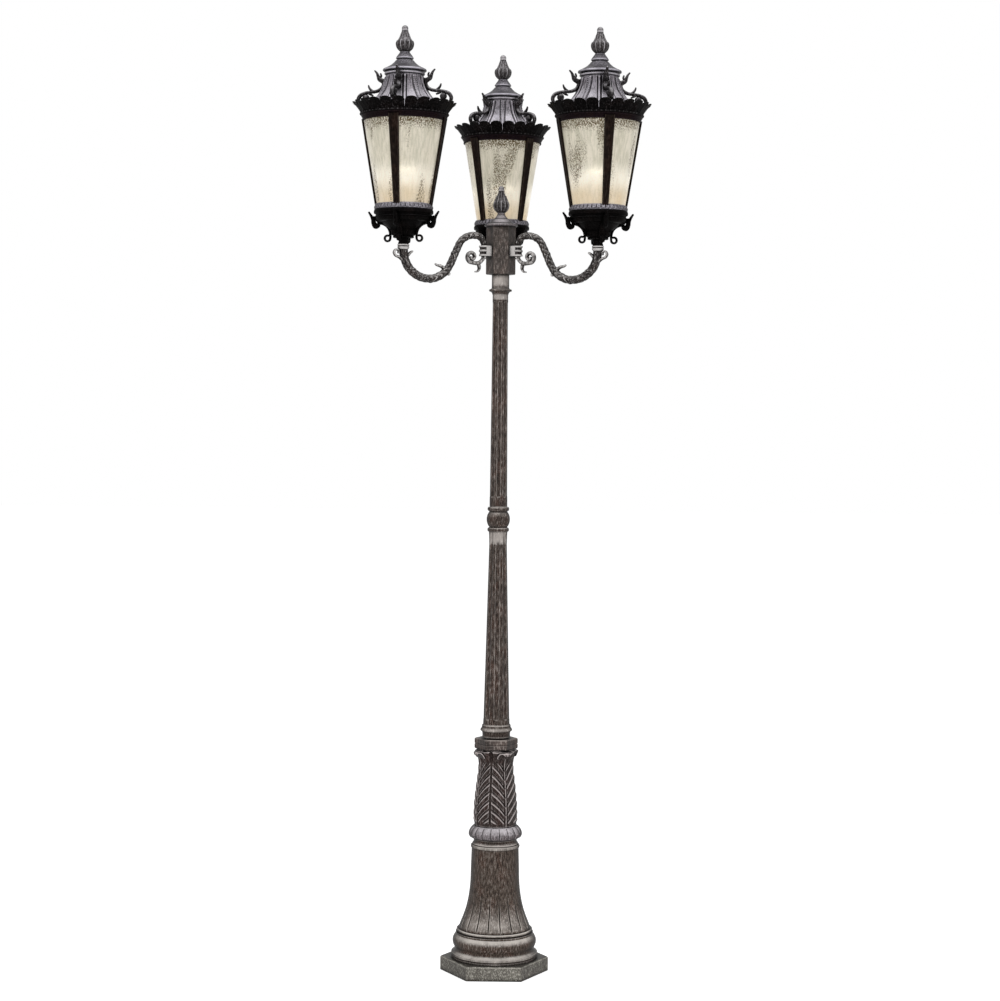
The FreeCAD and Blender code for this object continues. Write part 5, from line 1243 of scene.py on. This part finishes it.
    def roof(self) -> None:
        """The concave roof: four faces, each with side ribs, a smooth panel and two beaded lines."""
        slope = [(94.0, 12.0), (82.5, 25.0), (71.0, 40.0), (59.5, 56.0), (51.5, 76.0)]
        under = [(44.0, 96.0), (48.5, 75.0), (56.5, 54.5), (68.0, 38.5), (79.5, 23.5), (91.0, 10.5), (101.0, 3.0)]
        outline = lifted(
            ROOF_Z, [(101.0, 0.0), (104.0, 0.0), (104.0, 3.0)], through([(103.6, 4.0), *slope, (47.4, 96.0)], 2.0),
            [(46.8, 96.6), (46.8, 98.4), (50.6, 99.0), (51.4, 101.0), (50.6, 103.0), (47.2, 103.6), (47.2, 107.0),
             (3.6, 107.0), (3.6, 104.0), (44.0, 104.0)], through(under, 6.0))

        def panelled(theta: np.ndarray, r: np.ndarray, z: np.ndarray) -> np.ndarray:
            """Raises the ribs beside each corner and hollows the panels."""
            rise = z - ROOF_Z
            inner = np.interp(rise, [p[1] for p in under[::-1]], [p[0] for p in under[::-1]])
            on = (r > inner + 1.0) * ease(rise, 3.5, 7.0) * (1.0 - ease(rise, 91.0, 95.5))
            away = np.degrees(np.abs((theta + math.pi / 4) % (TAU / 4) - math.pi / 4))
            beside = np.abs(away - self.rib_away)
            wide = 60.0 / np.maximum(r, 45.0)
            rib = np.clip(1.0 - (beside / (2.6 * wide)) ** 2, 0.0, 1.0) ** 0.5 * 3.0
            groove = -2.6 * dip(beside, 4.6 * wide, 1.3 * wide)
            edge = 0.8 * dip(beside, 7.6 * wide, 1.6 * wide)
            seam = 1.6 * (1.0 - ease(away, 3.2 * wide, 4.4 * wide)) - 2.2 * dip(away, 6.2 * wide, 1.4 * wide)
            panel = -1.2 * np.clip(1.0 - ((away - 18.0) / 7.0) ** 2, 0.0, 1.0)
            return (rib + groove + edge + seam + panel) * on

        roof = Piece(f"roof_{self.side.label}_panelled").turned(outline, 600, panelled)
        line = through([*slope, (48.0, 92.0)], 1.0)
        run = np.concatenate([[0.0], np.cumsum(np.linalg.norm(np.diff(line, axis=0), axis=1))])
        for at in np.arange(3.0, run[-1], 5.2):
            r, z = np.interp(at, run, line[:, 0]), np.interp(at, run, line[:, 1])
            for away in (-1.0, 1.0):
                roof.beads(4, r + 1.9, ROOF_Z + z, 1.5, away * 3.3 / r * 4 / TAU)
        self.show(roof, "roof_casting", "roof_casting", "roof", "lantern_roof")

    def vent(self) -> None:
        """The vent cap: a lipped brim, a dome and a small bell on top."""
        outline = lifted(
            VENT_Z, [(3.6, 0.0), (53.0, 0.0), (55.2, 1.4), (55.6, 3.0), (54.6, 5.2)],
            through([(54.6, 5.2), (51.0, 7.0), (44.0, 10.4), (34.0, 16.4), (26.6, 23.0), (22.6, 27.6)], 1.5)[1:],
            [(21.6, 28.0), (19.6, 28.6), (19.6, 31.0), (21.8, 31.6), (22.6, 33.4), (21.8, 35.2)],
            through([(21.8, 35.2), (19.6, 38.6), (16.0, 43.4), (13.2, 47.4), (12.4, 49.0)], 1.2)[1:], [(3.6, 49.0)])
        vent = Piece(f"vent_{self.side.label}_lipped").turned(outline, 96)
        self.show(vent, "silver_casting", "roof_casting", "vent_cap", "lantern_roof")

    def scrolls(self) -> None:
        """Four roof scrolls: a horn, a long sweep with a spur, and a curl that ends in a ball."""
        piece = Piece(f"scrolls_{self.side.label}_swept")
        sweep = [(55.5, 86.0, 4.6, 6.4), (54.6, 77.0, 4.6, 6.6), (59.5, 66.0, 4.6, 6.6), (71.0, 59.6, 4.2, 6.4),
                 (88.0, 57.2, 3.8, 6.2), (104.0, 54.6, 4.2, 6.2), (117.0, 48.0, 4.8, 6.2), (121.5, 38.5, 4.6, 6.0),
                 (119.0, 29.5, 3.8, 5.6)]
        curl = [(119.5, 31.0, 3.4, 5.4), (112.0, 27.0, 3.2, 5.2), (103.0, 28.6, 3.2, 5.2), (97.6, 35.0, 3.4, 5.6)]
        horn = [(55.0, 80.0, 4.4, 6.4), (60.0, 85.5, 5.6, 6.4), (66.0, 89.5, 5.4, 6.0), (69.5, 97.0, 4.0, 5.2),
                (73.0, 105.0, 2.8, 4.2), (78.0, 110.8, 1.9, 3.2)]
        hook = [(66.0, 92.0, 3.0, 5.0), (61.5, 97.0, 2.4, 4.6), (63.0, 103.0, 2.0, 3.6)]
        spur = [(80.0, 57.0, 3.6, 5.6), (88.0, 62.5, 3.2, 5.0), (93.0, 69.0, 2.4, 3.8), (94.5, 74.0, 1.7, 2.8)]
        under = [(94.0, 55.0, 3.4, 5.4), (88.0, 51.0, 2.8, 4.8), (83.0, 49.0, 1.8, 3.4)]
        foot = [(97.0, 34.0, 4.6, 6.0), (99.5, 40.0, 5.4, 6.6), (101.0, 43.0, 6.0, 7.0)]
        made = bars(ROOF_Z, (1.6, sweep), (1.6, curl), (1.4, horn), (1.4, hook), (1.4, spur), (1.4, under), (1.4, foot))
        ball_x, ball_z, ball_wide, ball_r = 101.0, ROOF_Z + 43.0, 8.2, 9.2

        def grooved(angle: np.ndarray, run: np.ndarray, depth: np.ndarray) -> np.ndarray:
            """Runs a shallow groove along each side of the bar."""
            return -0.5 * dip(np.abs(np.sin(angle)), 1.0, 0.12) + 0.25 * np.cos(4.0 * angle)

        turn = np.linspace(0, TAU, 24, endpoint=False)[None, :]
        tilt = np.linspace(-math.pi / 2, math.pi / 2, 11)[1:-1, None]
        x, y = ball_x + ball_r * np.cos(tilt) * np.cos(turn), ball_wide * np.sin(tilt) + 0 * turn
        for azimuth in self.corner_azimuths:
            for rows in made:
                piece.bar(rows, 20, 2.5, grooved, azimuth)
            c, s = math.cos(math.radians(azimuth)), math.sin(math.radians(azimuth))
            piece.skin(np.stack([x * c - y * s, x * s + y * c, ball_z + ball_r * np.cos(tilt) * np.sin(turn)], -1))
        self.show(piece, "scroll_casting", "roof_casting", "roof_scrolls", "lantern_roof")


# ---------------------------------------------------------------- studio
AIM_Z = 1.3


@dataclass
class Studio:
    """The floor, the lights, the white surround and the camera."""

    distance: float = 5.607
    eye: float = 1.434
    azimuth: float = 0.3
    pitch: float = 2.033
    roll: float = 0.55
    yaw: float = -0.041
    lens: float = 77.3
    ambient: float = 0.5
    floor_glow: float = 0.66
    sensor: float = 36.0

    def build(self) -> None:
        """Sets the stage."""
        scene = bpy.context.scene
        scene.view_settings.view_transform = "Standard"
        self.floor()
        self.surround()
        self.lamp("key_light", (-2.6, -3.4, 4.6), 2.2, 74.0)
        self.lamp("fill_light", (3.4, -2.8, 2.6), 2.6, 42.0)
        self.lamp("top_light", (0.3, 0.8, 5.2), 1.8, 40.0)
        self.camera()

    def floor(self) -> None:
        """A pale floor that reads white but keeps the shadow."""
        bpy.ops.mesh.primitive_plane_add(size=60.0, location=(0.0, 0.0, -0.0005))
        plane = bpy.context.object
        plane.name = "studio_floor"
        web = Web(bpy.data.materials.new("studio_floor"))
        plain = web.node("ShaderNodeBsdfDiffuse", None, {"Color": (0.8, 0.8, 0.8, 1.0)})
        light = web.node("ShaderNodeEmission", None, {"Color": WHITE, "Strength": self.seen(web) * self.floor_glow})
        both = web.node("ShaderNodeAddShader", None, {0: plain.outputs[0], 1: light.outputs[0]})
        web.node("ShaderNodeOutputMaterial", None, {"Surface": both.outputs[0]})
        plane.data.materials.append(web.owner)

    def surround(self) -> None:
        """A soft white surround, full white where it is seen directly."""
        world = bpy.data.worlds.new("studio")
        bpy.context.scene.world = world
        web = Web(world)
        strength = self.seen(web) * (1.0 - self.ambient) + self.ambient
        light = web.node("ShaderNodeBackground", None, {"Color": WHITE, "Strength": strength})
        web.node("ShaderNodeOutputWorld", None, {"Surface": light.outputs[0]})

    @staticmethod
    def seen(web: Web) -> Value:
        """One where a surface is looked at, mirrored or seen through glass, and otherwise nought."""
        ray = web.node("ShaderNodeLightPath").outputs
        bounced = web.maths("MAXIMUM", Value(web, ray["Is Glossy Ray"]), Value(web, ray["Is Transmission Ray"]))
        return web.maths("MAXIMUM", Value(web, ray["Is Camera Ray"]), bounced)

    @staticmethod
    def lamp(name: str, at: tuple[float, float, float], size: float, power: float) -> None:
        """A soft square lamp that faces the middle of the post.

        Args:
            name: its name.
            at: where it stands, in metres.
            size: the length of its sides, in metres.
            power: its power, in watts.
        """
        data = bpy.data.lights.new(name, "AREA")
        data.size, data.energy = size, power
        lamp = bpy.data.objects.new(name, data)
        lamp.location = at
        lamp.rotation_euler = (Vector((0.0, 0.0, AIM_Z)) - Vector(at)).to_track_quat("-Z", "Y").to_euler()
        bpy.context.scene.collection.objects.link(lamp)

    def camera(self) -> None:
        """The camera at the photograph's place."""
        data = bpy.data.cameras.new("camera")
        data.lens, data.sensor_width = self.lens, self.sensor
        made = bpy.data.objects.new("camera", data)
        bpy.context.scene.collection.objects.link(made)
        a, p = math.radians(self.azimuth), math.radians(self.pitch)
        made.location = (self.distance * math.sin(a), -self.distance * math.cos(a), self.eye)
        a += math.radians(self.yaw)
        back = Vector((math.sin(a) * math.cos(p), -math.cos(a) * math.cos(p), math.sin(p)))
        made.rotation_mode = "QUATERNION"
        turned = (-back).to_track_quat("-Z", "Y")
        made.rotation_quaternion = turned @ Quaternion((0.0, 0.0, 1.0), math.radians(self.roll))
        bpy.context.scene.camera = made


def main() -> None:
    """Builds the scene piece by piece."""
    logging.basicConfig(level=logging.INFO, format="%(message)s")
    Studio().build()
    finishes = Finishes().build()
    Post(finishes).build()
    for side in Side:
        Arm(side, finishes).build()
        Lantern(side, finishes).build()
    for node in ("core_pipe", "lock_nut", "arm_screws"):
        dress(node, finishes["steel_hardware"])
    dress("lead_connectors", finishes["lampholder"])


if __name__ == "__main__":
    main()
